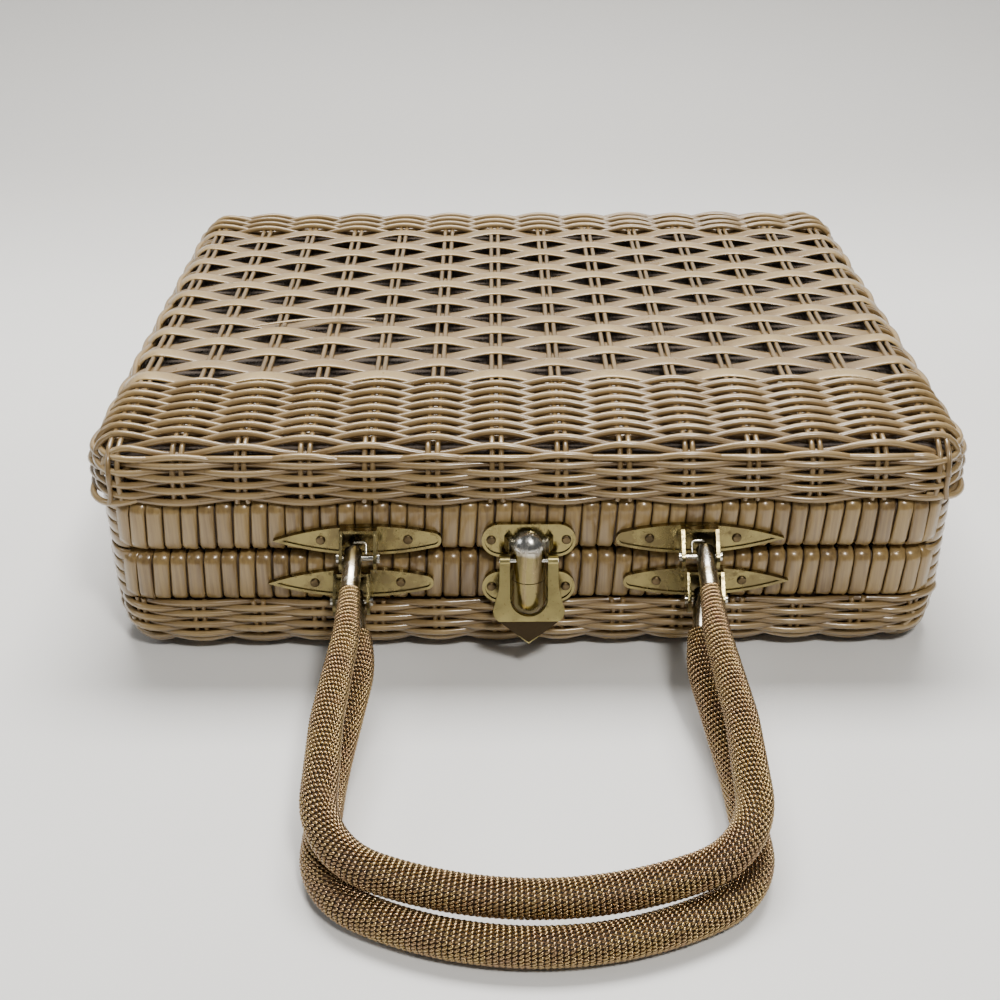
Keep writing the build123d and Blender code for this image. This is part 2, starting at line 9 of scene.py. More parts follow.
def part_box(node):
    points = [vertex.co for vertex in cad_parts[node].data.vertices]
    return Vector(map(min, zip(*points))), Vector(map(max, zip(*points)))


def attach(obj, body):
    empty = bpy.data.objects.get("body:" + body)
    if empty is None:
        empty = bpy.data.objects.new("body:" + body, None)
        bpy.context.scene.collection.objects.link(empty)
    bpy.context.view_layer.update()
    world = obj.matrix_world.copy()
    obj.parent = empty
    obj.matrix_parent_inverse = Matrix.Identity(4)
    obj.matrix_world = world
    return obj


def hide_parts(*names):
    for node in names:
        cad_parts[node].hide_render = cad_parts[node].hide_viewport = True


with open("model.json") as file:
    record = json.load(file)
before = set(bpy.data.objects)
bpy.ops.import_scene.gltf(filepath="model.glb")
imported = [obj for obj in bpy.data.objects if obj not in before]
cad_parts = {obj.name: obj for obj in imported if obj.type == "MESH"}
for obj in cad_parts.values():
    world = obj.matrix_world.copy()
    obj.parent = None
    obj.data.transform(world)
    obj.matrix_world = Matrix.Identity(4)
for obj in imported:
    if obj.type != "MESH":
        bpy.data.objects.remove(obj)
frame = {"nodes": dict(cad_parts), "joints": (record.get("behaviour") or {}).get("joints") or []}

bl_info = {
    "name": "Wicker Box Bag",
    "version": (1, 0, 0),
    "blender": (4, 5, 0),
    "location": "View3D > Sidebar > Box Bag",
    "description": "Weaves, binds and finishes a wicker box bag over its packed frame",
    "category": "Object",
}

MM = 0.001
UP = np.array((0.0, 0.0, 1.0))
SEED = 7
HALVES = (("lower", "lower_half"), ("lid", "lid"))
RIM_THICK = 8.2 * MM
BAND_ROLL = 2.4 * MM
TURN_LEAN = 0.028
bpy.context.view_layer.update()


# ---- Settings ------------------------------------------------------------------------------

def length(name, description, millimetres):
    """A length that the user may change, kept in metres."""
    return bpy.props.FloatProperty(name=name, description=description, default=millimetres * MM,
                                   min=0.0, subtype="DISTANCE", unit="LENGTH", precision=5)


def angle(name, description, degrees):
    """An angle that the user may change, kept in radians."""
    return bpy.props.FloatProperty(name=name, description=description, default=radians(degrees),
                                   subtype="ANGLE", unit="ROTATION")


def count(name, description, default):
    """A whole number of like parts."""
    return bpy.props.IntProperty(name=name, description=description, default=default, min=1)


def colour(name, description, default):
    """A colour in linear light."""
    return bpy.props.FloatVectorProperty(name=name, description=description, default=default,
                                         size=3, min=0.0, max=1.0, subtype="COLOR")


class WeaveSettings(bpy.types.PropertyGroup):
    """Sizes and colours of the two woven trays."""

    skin: length("Skin", "Depth of the stakes' centre under the tray's outer face", 2.9)
    corner: length("Corner", "Radius of the tray's upright corners", 20)
    edge: length("Edge", "Radius of the tray's rounded edge", 12)
    stakes_around: count("Stake pairs", "Pairs of stakes round one tray", 50)
    stake_width: length("Stake width", "Diameter of one stake", 1.8)
    stake_spread: length("Stake spread", "Distance between the two stakes of a pair", 2.6)
    reed_width: length("Reed width", "Diameter of the round reed", 2.25)
    wall_pitch: length("Wall pitch", "Distance between rows of reed on the wall", 1.95)
    panel_pitch: length("Panel pitch", "Distance between rows of reed on the panel", 3.0)
    wall_lift: length("Wall lift", "How far wall reed stands off the stakes", 1.15)
    panel_lift: length("Panel lift", "How far panel reed stands off the stakes", 1.45)
    wall_sway: length("Wall sway", "How far wall reed leans toward the rim", 0.3)
    panel_sway: length("Panel sway", "How far panel reed leans toward the rear", 0.7)
    wall_rows: count("Wall rows", "Rows of reed round the wall", 8)
    near_rows: count("Near rows", "Rows of reed over the front edge and the near zone", 17)
    far_rows: count("Far rows", "Rows of reed over the rear edge and the far zone", 9)
    open_rows: count("Open rows", "Flat strips in the open middle of the panel", 17)
    strip_width: length("Strip width", "Width of a flat strip", 7.2)
    strip_thick: length("Strip thickness", "Thickness of a flat strip", 0.9)
    strip_lift: length("Strip lift", "How far a strip stands over or under the stakes", 0.85)
    strip_sway: length("Strip sway", "How far a strip leans toward its next row", 1.25)
    reed_light: colour("Reed, light", "Lightest reed", (0.36, 0.245, 0.10))
    reed_dark: colour("Reed, dark", "Darkest reed", (0.17, 0.105, 0.038))
    strip_light: colour("Strip, light", "Lightest flat strip", (0.45, 0.31, 0.115))
    strip_dark: colour("Strip, dark", "Darkest flat strip", (0.27, 0.17, 0.06))
    lining: colour("Lining", "Cloth behind the weave", (0.058, 0.040, 0.027))


class RimSettings(bpy.types.PropertyGroup):
    """Sizes and colours of the bound rims."""

    strip_pitch: length("Strip pitch", "Distance from one turn of binding to the next", 5.4)
    strip_gap: length("Strip gap", "Gap between two turns", 0.25)
    strip_thick: length("Strip thickness", "Thickness of the binding", 1.35)
    strip_slant: angle("Slant", "Lean of a turn of binding", 3)
    roll: length("Roll", "Radius of the rim's rounded edges", 3.3)
    front_reach: angle("Front reach", "How far round a corner the front and rear turns go", 40)
    side_reach: angle("Side reach", "How far round a corner the side turns go", 12)
    corner: length("Corner", "Radius of the rim's upright corners", 16)
    corner_strips: count("Corner strips", "Level strips that cover one corner", 4)
    light: colour("Light", "Lightest binding", (0.32, 0.216, 0.078))
    dark: colour("Dark", "Darkest binding", (0.115, 0.066, 0.025))
    hoop: colour("Hoop", "Wood behind the binding", (0.085, 0.052, 0.028))


class HandleSettings(bpy.types.PropertyGroup):
    """Sizes and colours of the knitted metal handles."""

    row_pitch: length("Row pitch", "Distance between rings of links", 1.5)
    links_around: count("Links around", "Links in one ring", 25)
    link_length: length("Link length", "Length of a link", 2.15)
    link_width: length("Link width", "Width of a link", 0.92)
    link_slant: angle("Link slant", "Angle from the handle", 42)
    thick: length("Radius", "Outer radius of the mesh at the crown", 5.15)
    gold: colour("Gold", "Yellower links", (0.41, 0.295, 0.13))
    rose: colour("Rose", "Redder links", (0.32, 0.205, 0.12))
    core: colour("Core", "Between the links", (0.045, 0.025, 0.014))


class MetalSettings(bpy.types.PropertyGroup):
    """Colours of the castings, tacks and pins."""

    gold: colour("Gold", "Plating of the castings", (0.245, 0.20, 0.085))
    gold_worn: colour("Worn gold", "Worn plating", (0.19, 0.15, 0.07))
    silver: colour("Silver", "Metal where the plating is gone", (0.66, 0.64, 0.58))
    tack: colour("Tack", "Tack heads", (0.16, 0.115, 0.06))
    lever: colour("Lever", "Face of the clasp's lever", (0.42, 0.355, 0.15))
    # Painted dark reflection for the lever's bevelled point, which faces the shaded floor.
    lever_point_reflection: colour("Lever point", "Bevelled point of the lever", (0.035, 0.025, 0.014))
    barrel_stain: colour("Barrel stain", "Brown streaks on the barrel", (0.30, 0.23, 0.13))


SETTINGS = {"bag_weave": WeaveSettings, "bag_rims": RimSettings,
            "bag_handles": HandleSettings, "bag_metal": MetalSettings}


# ---- Nodes ---------------------------------------------------------------------------------

def add_node(tree, kind, sockets=None, **settings):
    """Adds a node, sets its settings, then gives its sockets their values or links; a node
    given as a value stands for its first output."""
    node = tree.nodes.new(kind)
    for name, value in settings.items():
        setattr(node, name, value)
    for key, value in (sockets or {}).items():
        if isinstance(value, Number):
            value = value.socket
        elif isinstance(value, bpy.types.Node):
            value = value.outputs[0]
        if isinstance(value, bpy.types.NodeSocket):
            tree.links.new(value, node.inputs[key])
        else:
            node.inputs[key].default_value = value
    return node


class Number:
    """A socket that takes part in arithmetic."""

    def __init__(self, socket):
        self.socket = socket

    def combine(self, operation, first, second):
        """The result of one Math node."""
        node = add_node(self.socket.id_data, "ShaderNodeMath", {0: first, 1: second},
                        operation=operation)
        return Number(node.outputs[0])

    def __add__(self, other):
        return self.combine("ADD", self, other)

    def __radd__(self, other):
        return self.combine("ADD", other, self)

    def __sub__(self, other):
        return self.combine("SUBTRACT", self, other)

    def __rsub__(self, other):
        return self.combine("SUBTRACT", other, self)

    def __mul__(self, other):
        return self.combine("MULTIPLY", self, other)

    def __rmul__(self, other):
        return self.combine("MULTIPLY", other, self)

    def __rtruediv__(self, other):
        return self.combine("DIVIDE", other, self)

    def __abs__(self):
        return self.combine("ABSOLUTE", self, 0.0)

    def __gt__(self, other):
        return self.combine("GREATER_THAN", self, other)

    def __lt__(self, other):
        return self.combine("LESS_THAN", self, other)


class Finish:
    """A procedural material under construction."""

    def __init__(self, name):
        self.material = bpy.data.materials.new(name)
        self.material.use_nodes = True
        self.tree = self.material.node_tree
        self.tree.nodes.clear()
        self.place = self.add("ShaderNodeTexCoord").outputs["Object"]

    def add(self, kind, sockets=None, **settings):
        """Adds a node to this material."""
        return add_node(self.tree, kind, sockets, **settings)

    def stretched(self, x, y, z):
        """Object coordinates, scaled along each axis."""
        return self.add("ShaderNodeMapping", {"Vector": self.place, "Scale": (x, y, z)})

    def axes(self):
        """The object coordinates across, in depth and in height."""
        return [Number(o) for o in self.add("ShaderNodeSeparateXYZ", {0: self.place}).outputs]

    def noise(self, scale, detail, vector=None):
        """Soft random mottling, from 0 to 1."""
        node = self.add("ShaderNodeTexNoise", {"Vector": vector or self.place, "Scale": scale,
                                               "Detail": detail, "Roughness": 0.55})
        return Number(node.outputs[0])

    def attribute(self, name):
        """A number that the mesh carries."""
        return Number(self.add("ShaderNodeAttribute", attribute_name=name).outputs["Fac"])

    def ramp(self, value, low, high):
        """Value remapped so that low gives 0 and high gives 1."""
        node = self.add("ShaderNodeMapRange", {"Value": value, "From Min": low, "From Max": high},
                        interpolation_type="SMOOTHSTEP")
        return Number(node.outputs[0])

    def mix(self, factor, first, second, blend="MIX"):
        """Two colours mixed; each is a socket or three numbers."""
        first, second = [v if isinstance(v, bpy.types.NodeSocket) else (*v, 1.0)
                         for v in (first, second)]
        node = self.add("ShaderNodeMix", {0: factor, 6: first, 7: second},
                        data_type="RGBA", blend_type=blend)
        return node.outputs[2]

    def bump(self, height, strength, distance):
        """A relief in the surface."""
        return self.add("ShaderNodeBump", {"Height": height, "Strength": strength,
                                           "Distance": distance})

    def shade(self, sockets):
        """Closes the material with its shader."""
        shader = self.add("ShaderNodeBsdfPrincipled", sockets)
        self.add("ShaderNodeOutputMaterial", {"Surface": shader})
        return self.material


# ---- Materials -----------------------------------------------------------------------------

def cane_finish(name, light, dark, gloss):
    """Pearly lacquered cane: a tint for each strand, mottling, fine grain, a painted highlight on
    the crests over the stakes and painted shade where it passes under them.
    """
    f = Finish(name)
    mottle = f.ramp(f.noise(95, 4), 0.33, 0.68)
    # The size value is 1 on a crest over the stakes and 0 under them; it adds a painted highlight
    # to the crests.
    lit_crest = f.attribute("size")
    tone = f.attribute("tint") * 0.5 + mottle * 0.25 + lit_crest * 0.25
    cloud = f.ramp(f.noise(16, 2), 0.3, 0.7)
    pearl = f.mix(cloud * 0.25, f.mix(tone, dark, light), (0.46, 0.33, 0.17))
    # Painted shade: darker where the strand passes under the stakes.
    crease_shade = f.mix(1 - lit_crest, pearl, (0.55, 0.50, 0.44), "MULTIPLY")
    speck = f.ramp(f.noise(620, 2), 0.62, 0.72)
    base = f.mix(speck * 0.35, crease_shade, (0.10, 0.06, 0.03))
    grain = f.noise(1500, 2) * 0.4 + f.noise(420, 2)
    return f.shade({"Base Color": base, "Roughness": gloss + mottle * 0.14, "Metallic": 0.12,
                    "Coat Weight": 0.85, "Coat Roughness": 0.15,
                    "Normal": f.bump(grain, 0.25, 0.12 * MM)})


def binding_finish(light, dark):
    """Glossy flat cane with long fine grain down each turn."""
    f = Finish("pearly_binding")
    grain = f.noise(1.0, 4, f.stretched(900, 900, 40))
    tone = f.attribute("tint") * 0.5 + f.ramp(grain, 0.3, 0.7) * 0.5
    cloud = f.ramp(f.noise(40, 3), 0.35, 0.7)
    base = f.mix(cloud * 0.3, f.mix(tone, dark, light), (0.33, 0.215, 0.08))
    return f.shade({"Base Color": base, "Roughness": 0.24 + 0.16 * grain, "Metallic": 0.10,
                    "Coat Weight": 0.65, "Coat Roughness": 0.13,
                    "Normal": f.bump(grain, 0.4, 0.10 * MM)})


def wood_finish(tone):
    """Dull wood with grain along the rim."""
    f = Finish("hoop_wood")
    grain = f.noise(1.0, 3, f.stretched(60, 60, 700))
    base = f.mix(grain, [c * 0.6 for c in tone], tone)
    return f.shade({"Base Color": base, "Roughness": 0.6,
                    "Normal": f.bump(grain, 0.3, 0.1 * MM)})


def cloth_finish(tone):
    """Plain-woven dark cloth with a little lint."""
    f = Finish("lining_cloth")
    warp, weft = [Number(f.add("ShaderNodeTexWave", {
        "Vector": f.place, "Scale": 260.0, "Distortion": 1.2, "Detail": 1.0},
        bands_direction=way).outputs["Fac"]) for way in "XY"]
    patches = f.ramp(f.noise(30, 3), 0.35, 0.7)
    lint = f.ramp(f.noise(210, 2), 0.70, 0.78)
    base = f.mix(patches * 0.5, tone, [c * 1.9 for c in tone])
    base = f.mix(lint * 0.5, base, (0.42, 0.36, 0.30))
    return f.shade({"Base Color": base, "Roughness": 0.86, "Sheen Weight": 0.2,
                    "Normal": f.bump(warp + weft, 0.5, 0.15 * MM)})


def metal_finish(name, bright, worn, rough, dirt):
    """Worn plating: patches of two metals, scratches, pits and grime."""
    f = Finish(name)
    patch = f.ramp(f.noise(150, 4), 0.40, 0.66)
    scratch = f.noise(1.0, 3, f.stretched(300, 300, 1900))
    pits = f.ramp(f.noise(1300, 2), 0.60, 0.74)
    grime = f.ramp(f.noise(330, 4), 0.56, 0.74)
    base = f.mix(patch, bright, worn)
    base = f.mix(grime * dirt, base, (0.10, 0.07, 0.03))
    return f.shade({"Base Color": base, "Metallic": 1.0,
                    "Roughness": rough + patch * 0.12 + grime * 0.25,
                    "Normal": f.bump(scratch * 0.5 - pits, 0.22, 0.10 * MM)})


def barrel_finish(settings):
    """The barrel: silver on the dome, gold below, with upright brown streaks."""
    f = Finish("barrel_plating")
    half_width, front = 6.3 * MM, -118.6 * MM
    dome_foot, dome_top = 41.0 * MM, 43.5 * MM
    across, depth, height = f.axes()
    streak = f.ramp(f.noise(1.0, 4, f.stretched(420, 420, 45)), 0.42, 0.66)
    dome = f.ramp(height + (f.noise(300, 3) - 0.5) * 4 * MM, dome_foot, dome_top)
    barrel = (abs(across) < half_width) * (depth < front)
    plate_gold = f.mix(streak * barrel * 0.75, settings.gold, settings.barrel_stain)
    base = f.mix(dome * barrel, plate_gold, settings.silver)
    pits = f.ramp(f.noise(1100, 3), 0.58, 0.72)
    base = f.mix(pits * 0.3, base, (0.16, 0.12, 0.07))
    return f.shade({"Base Color": base, "Metallic": 1.0, "Roughness": 0.17 + streak * 0.16,
                    "Normal": f.bump(pits, 0.25, 0.08 * MM)})


def lever_finish(settings):
    """The lever: pitted olive gold, with a painted dark reflection on its bevelled point."""
    f = Finish("lever_plating")
    point_length, lever_lean, rim = 8.6 * MM, radians(12.5), 0.9 * MM
    across, _, height = f.axes()
    low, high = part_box("clasp_lever")
    rise = point_length * cos(lever_lean)
    inside = (height - low.z) * (high.x / rise) - abs(across)
    point = (height < low.z + rise) * (inside > rim)
    pits = f.ramp(f.noise(1000, 3), 0.60, 0.72)
    patch = f.ramp(f.noise(190, 3), 0.35, 0.7)
    face = f.mix(patch, settings.lever, [c * 0.78 for c in settings.lever])
    face = f.mix(pits * 0.55, face, (0.13, 0.10, 0.04))
    # Painted reflection: the bevelled point is coloured near black for the shaded floor it mirrors.
    base = f.mix(point, face, settings.lever_point_reflection)
    return f.shade({"Base Color": base, "Metallic": 1.0, "Roughness": 0.36 - 0.1 * point,
                    "Normal": f.bump(pits, 0.3, 0.08 * MM)})


def link_finish(settings):
    """Links of two golds, with grime between them."""
    f = Finish("knitted_links")
    tone = f.attribute("tint") * 0.5 + f.ramp(f.noise(55, 3), 0.35, 0.65) * 0.5
    base = f.mix(tone, settings.rose, settings.gold)
    grime = f.ramp(f.noise(240, 3), 0.55, 0.75)
    base = f.mix(grime * 0.4, base, (0.20, 0.12, 0.06))
    return f.shade({"Base Color": base, "Metallic": 1.0, "Roughness": 0.26 + grime * 0.15})


def core_finish(tone):
    """The dull dark stuff that shows between the links."""
    f = Finish("mesh_core")
    mottle = f.noise(200, 3)
    base = f.mix(mottle, [c * 0.75 for c in tone], tone)
    return f.shade({"Base Color": base, "Roughness": 0.7,
                    "Normal": f.bump(mottle, 0.2, 0.1 * MM)})


# ---- Building pieces -----------------------------------------------------------------------

SOCKET_KINDS = {float: "NodeSocketFloat", int: "NodeSocketInt", type(None): "NodeSocketMaterial"}


def path_mesh(name, paths, tints=None, values=None):
    """A mesh of edges that follow paths; each path is (points, closed), with a tint for each
    path and a value for each of its points: the radius on a handle, and on cane the crest value
    that sets its painted highlight and painted shade."""
    points, edges, tint, size = [], [], [], []
    for index, (path, closed) in enumerate(paths):
        start = len(points)
        points.extend(path)
        edges += [(start + i, start + i + 1) for i in range(len(path) - 1)]
        if closed:
            edges.append((len(points) - 1, start))
        tint += [0.5 if tints is None else tints[index]] * len(path)
        size += [1.0] * len(path) if values is None else list(values[index])
    mesh = bpy.data.meshes.new(name)
    mesh.from_pydata([tuple(p) for p in points], edges, [])
    mesh.attributes.new("tint", "FLOAT", "POINT").data.foreach_set("value", tint)
    mesh.attributes.new("size", "FLOAT", "POINT").data.foreach_set("value", size)
    return mesh


def new_tree(name, inputs):
    """A geometry tree with an input for each named default, where None is a material."""
    tree = bpy.data.node_groups.new(name, "GeometryNodeTree")
    tree.interface.new_socket("Geometry", in_out="INPUT", socket_type="NodeSocketGeometry")
    for label, default in inputs.items():
        socket = tree.interface.new_socket(label, in_out="INPUT",
                                           socket_type=SOCKET_KINDS[type(default)])
        if default is not None:
            socket.default_value = default
    tree.interface.new_socket("Geometry", in_out="OUTPUT", socket_type="NodeSocketGeometry")
    return tree, add_node(tree, "NodeGroupInput").outputs


def close_tree(tree, geometry, material):
    """Every tree ends in real geometry with its material."""
    real = add_node(tree, "GeometryNodeRealizeInstances", {"Geometry": geometry})
    done = add_node(tree, "GeometryNodeSetMaterial", {"Geometry": real, "Material": material})
    add_node(tree, "NodeGroupOutput", {"Geometry": done})
    return tree


def vector_maths(tree, operation, sockets):
    """A Vector Math node."""
    return add_node(tree, "ShaderNodeVectorMath", sockets, operation=operation)


def stored(tree, name, kind="FLOAT"):
    """An attribute that the points carry."""
    return add_node(tree, "GeometryNodeInputNamedAttribute", {"Name": name}, data_type=kind)


def random_number(tree, given, low, high):
    """A number for each point, from the tree's seed."""
    node = add_node(tree, "FunctionNodeRandomValue", {2: low, 3: high, "Seed": given["Seed"]},
                    data_type="FLOAT")
    return Number(node.outputs[1])


def circle(tree, sides, radius):
    """A ring to sweep along a path."""
    return add_node(tree, "GeometryNodeCurvePrimitiveCircle",
                    {"Resolution": sides, "Radius": radius}, mode="RADIUS")


def rolled_box(tree, width, height, roll, steps):
    """A rectangle with rounded corners."""
    box = add_node(tree, "GeometryNodeCurvePrimitiveQuadrilateral",
                   {"Width": width, "Height": height}, mode="RECTANGLE")
    return add_node(tree, "GeometryNodeFilletCurve",
                    {"Curve": box, "Radius": roll, "Count": steps}, mode="POLY")


def softened(tree, geometry):
    """The geometry, shaded smooth."""
    return add_node(tree, "GeometryNodeSetShadeSmooth", {"Geometry": geometry})


def scatter(tree, given, sockets):
    """Ends a tree that sets a shape on every point, each with a tint of its own."""
    placed = add_node(tree, "GeometryNodeInstanceOnPoints", sockets)
    marked = add_node(tree, "GeometryNodeStoreNamedAttribute", {
        "Geometry": placed, "Name": "tint", "Value": random_number(tree, given, 0.0, 1.0)},
        data_type="FLOAT", domain="INSTANCE")
    return close_tree(tree, marked, given["Material"])


def strand_tree(boxed=False):
    """Sweeps an oval, or a box with rolled edges, along every path."""
    tree, given = new_tree("Band" if boxed else "Strand", {
        "Level width": 2.3 * MM, "Upright width": 2.3 * MM, "Sides": 8,
        "Wander": 0.1 * MM, "Material": None})
    curve = add_node(tree, "GeometryNodeMeshToCurve", {"Mesh": given["Geometry"]})
    place = add_node(tree, "GeometryNodeInputPosition")
    stir = add_node(tree, "ShaderNodeTexNoise", {"Vector": place, "Scale": 38.0, "Detail": 2.0})
    middle = vector_maths(tree, "SUBTRACT", {0: stir.outputs[1], 1: (0.5, 0.5, 0.5)})
    shift = vector_maths(tree, "SCALE", {0: middle, "Scale": given["Wander"]})
    curve = add_node(tree, "GeometryNodeSetPosition", {"Geometry": curve, "Offset": shift})
    curve = add_node(tree, "GeometryNodeSetCurveNormal", {"Curve": curve}, mode="Z_UP")
    width, height = given["Level width"], given["Upright width"]
    if boxed:
        profile = rolled_box(tree, width, height, BAND_ROLL, given["Sides"])
    else:
        size = add_node(tree, "ShaderNodeCombineXYZ", {0: width, 1: height, 2: 1.0})
        profile = add_node(tree, "GeometryNodeTransform", {
            "Geometry": circle(tree, given["Sides"], 0.5), "Scale": size})
    tube = add_node(tree, "GeometryNodeCurveToMesh", {"Curve": curve, "Profile Curve": profile,
                                                      "Fill Caps": True})
    return close_tree(tree, softened(tree, tube), given["Material"])


def set_input(modifier, name, value):
    """Sets a geometry tree's input, which a modifier knows by its identifier."""
    for item in modifier.node_group.interface.items_tree:
        if item.in_out == "INPUT" and item.name == name:
            modifier[item.identifier] = value


def grown(name, mesh, tree, values):
    """The plain mesh that a geometry tree makes from a mesh."""
    source = bpy.data.objects.new(name + "_source", mesh)
    bpy.context.scene.collection.objects.link(source)
    modifier = source.modifiers.new("Grow", "NODES")
    modifier.node_group = tree
    for label, value in values.items():
        set_input(modifier, label, value)
    graph = bpy.context.evaluated_depsgraph_get()
    made = bpy.data.meshes.new_from_object(source.evaluated_get(graph),
                                           preserve_all_data_layers=True, depsgraph=graph)
    bpy.data.objects.remove(source)
    bpy.data.meshes.remove(mesh)
    if not made.polygons:
        raise RuntimeError(f"{name} came out empty")
    return made


def piece(name, mesh, body, replaced=()):
    """A finished piece that rides on a body."""
    made = bpy.data.objects.new(name, mesh)
    bpy.context.scene.collection.objects.link(made)
    mesh.name = name
    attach(made, body)
    if replaced:
        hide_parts(*replaced)
    return made


# ---- The woven trays -----------------------------------------------------------------------

# Loose ends by the front corners: the side, the height above the rim and the length in mm.
STRAY_LOOPS = {"lower": ((1, 1.0, 18),), "lid": ((-1, 1.2, 24), (1, 1.8, 20))}


class Tray:
    """The surface in which one tray's stakes lie, and the ways across it."""

    def __init__(self, name, settings):
        self.name = name
        low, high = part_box(f"{name}_basket")
        rim_low, rim_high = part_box(f"{name}_binding")
        self.side = 1 if name == "lid" else -1
        self.up = self.side * UP
        self.face = (high.z if name == "lid" else low.z) - self.side * settings.skin
        self.rim = rim_high.z if name == "lid" else rim_low.z
        self.half_x = high.x - settings.skin
        self.half_y = high.y - settings.skin
        self.corner = settings.corner - settings.skin
        self.edge = settings.edge - settings.skin
        self.wall = abs(self.face - self.rim) - self.edge
        around = 4 * (self.half_x + self.half_y) - (8 - 2 * pi) * self.corner
        self.step = around / settings.stakes_around
        self.around = around

    def outline(self, s, inset=0.0):
        """A point of the plan outline at a way s round it from the front's middle, counted
        to the right on the full-size outline, and the outward direction there."""
        flat_x = self.half_x - self.corner
        flat_y = self.half_y - self.corner
        arc = self.corner * pi / 2
        s = (s + self.around / 2) % self.around - self.around / 2
        mirror = -1.0 if s < 0 else 1.0
        s = abs(s)
        centre_front = np.array((flat_x, -flat_y))
        centre_rear = np.array((flat_x, flat_y))
        if s < flat_x:
            base, out = np.array((s, -self.half_y)), np.array((0.0, -1.0))
        elif s < flat_x + arc:
            turn = (s - flat_x) / self.corner
            out = np.array((sin(turn), -cos(turn)))
            base = centre_front + out * self.corner
        elif s < flat_x + arc + 2 * flat_y:
            base = np.array((self.half_x, -flat_y + s - flat_x - arc))
            out = np.array((1.0, 0.0))
        elif s < flat_x + 2 * arc + 2 * flat_y:
            turn = (s - flat_x - arc - 2 * flat_y) / self.corner
            out = np.array((cos(turn), sin(turn)))
            base = centre_rear + out * self.corner
        else:
            base = np.array((flat_x - (s - flat_x - 2 * arc - 2 * flat_y), self.half_y))
            out = np.array((0.0, 1.0))
        point = base - out * inset
        return np.array((mirror * point[0], point[1])), np.array((mirror * out[0], out[1]))

    def on_wall(self, s, u):
        """The point u up from the rim, on the wall or the rounded edge, and the normal."""
        turn = max(0.0, u - self.wall) / self.edge
        plan, out = self.outline(s, self.edge * (1 - cos(turn)))
        rise = min(u, self.wall) + self.edge * sin(turn)
        point = np.array((plan[0], plan[1], self.rim + self.side * rise))
        return point, cos(turn) * np.array((out[0], out[1], 0.0)) + sin(turn) * self.up

    def across(self, v):
        """A way v over the tray from the front wall to the rear, 0 where the flat begins:
        the point in the middle, the normal, and the direction of v."""
        flat = 2 * (self.half_y - self.edge)
        if v < 0:
            turn, out, y0 = -v / self.edge, -1.0, -flat / 2
        elif v > flat:
            turn, out, y0 = (v - flat) / self.edge, 1.0, flat / 2
        else:
            turn, out, y0 = 0.0, 1.0, v - flat / 2
        point = np.array((0.0, y0 + out * self.edge * sin(turn),
                          self.face - self.side * self.edge * (1 - cos(turn))))
        normal = np.array((0.0, out * sin(turn), 0.0)) + cos(turn) * self.up
        along = np.array((0.0, cos(turn), 0.0)) - out * sin(turn) * self.up
        return point, normal, along

    def reach(self, y):
        """Half the plan's width at a depth y."""
        past = max(0.0, abs(y) - (self.half_y - self.corner))
        return self.half_x - self.corner + sqrt(max(0.0, self.corner ** 2 - past ** 2))

    def level_row(self, v, index, lift, sway, drift, spacing):
        """A row from side to side: it weaves over and under, and turns down at both ends."""
        middle, normal, along = self.across(v)
        bend_start = self.reach(middle[1]) - self.edge
        turned = self.edge * radians(82)
        total = bend_start + turned
        ways = np.linspace(-total, total, int(2 * total / spacing) + 1)
        wave = self.wave(ways, index)
        points = []
        for way, w, extra in zip(ways, wave, drift(ways)):
            turn = max(0.0, abs(way) - bend_start) / self.edge
            flat = min(abs(way), bend_start)
            out = np.array((np.sign(way), 0.0, 0.0))
            across = out * (flat + self.edge * sin(turn)) - self.up * self.edge * (1 - cos(turn))
            face = cos(turn) * normal + sin(turn) * out
            points.append(middle + across + face * (lift * w) + along * (sway * w + extra))
        # The second value, 1 over the stakes and 0 under them, sets the cane's painted highlight
        # and painted shade.
        return points, (wave + 1) / 2

    def wave(self, ways, index):
        """1 where the row lies outside a pair of stakes, -1 where it lies inside."""
        return np.sin(pi * np.asarray(ways) / self.step + pi * index)

    def ring(self, u, index, lift, sway, drift, spacing):
        """A row all round the wall."""
        ways = np.arange(0, self.around, spacing)
        wave = self.wave(ways, index)
        points = []
        for way, w, extra in zip(ways, wave, drift(ways)):
            point, normal = self.on_wall(way, u + sway * w + extra)
            points.append(point + normal * (lift * w))
        # The second value, 1 over the stakes and 0 under them, sets the cane's painted highlight
        # and painted shade.
        return points, (wave + 1) / 2


def drifting(rng, size, period):
    """A slow random wander along a row, the same at every run."""
    phases = rng.uniform(0, 2 * pi, 3)
    sizes = rng.uniform(0.4, 1.0, 3) * size / 3
    def drift(ways):
        turns = np.asarray(ways) * 2 * pi / period
        return sum(s * np.sin(turns * (k + 1) + p) for k, (s, p) in enumerate(zip(sizes, phases)))
    return drift


def row_places(tray, settings):
    """Every level row from front to rear, as (way over the tray, whether it is a flat strip)."""
    flat = 2 * (tray.half_y - tray.edge)
    first = -tray.edge * radians(52)
    near = [first + i * settings.panel_pitch for i in range(settings.near_rows)]
    far = [flat - first - i * settings.panel_pitch for i in reversed(range(settings.far_rows))]
    room = settings.panel_pitch * 0.5 + settings.strip_width * 0.5
    share_along = np.linspace(0, 1, settings.open_rows)
    share_along += 0.08 * share_along * (1 - share_along)
    strips = near[-1] + room + share_along * (far[0] - near[-1] - 2 * room)
    return ([(v, False) for v in near] + [(v, True) for v in strips] + [(v, False) for v in far])


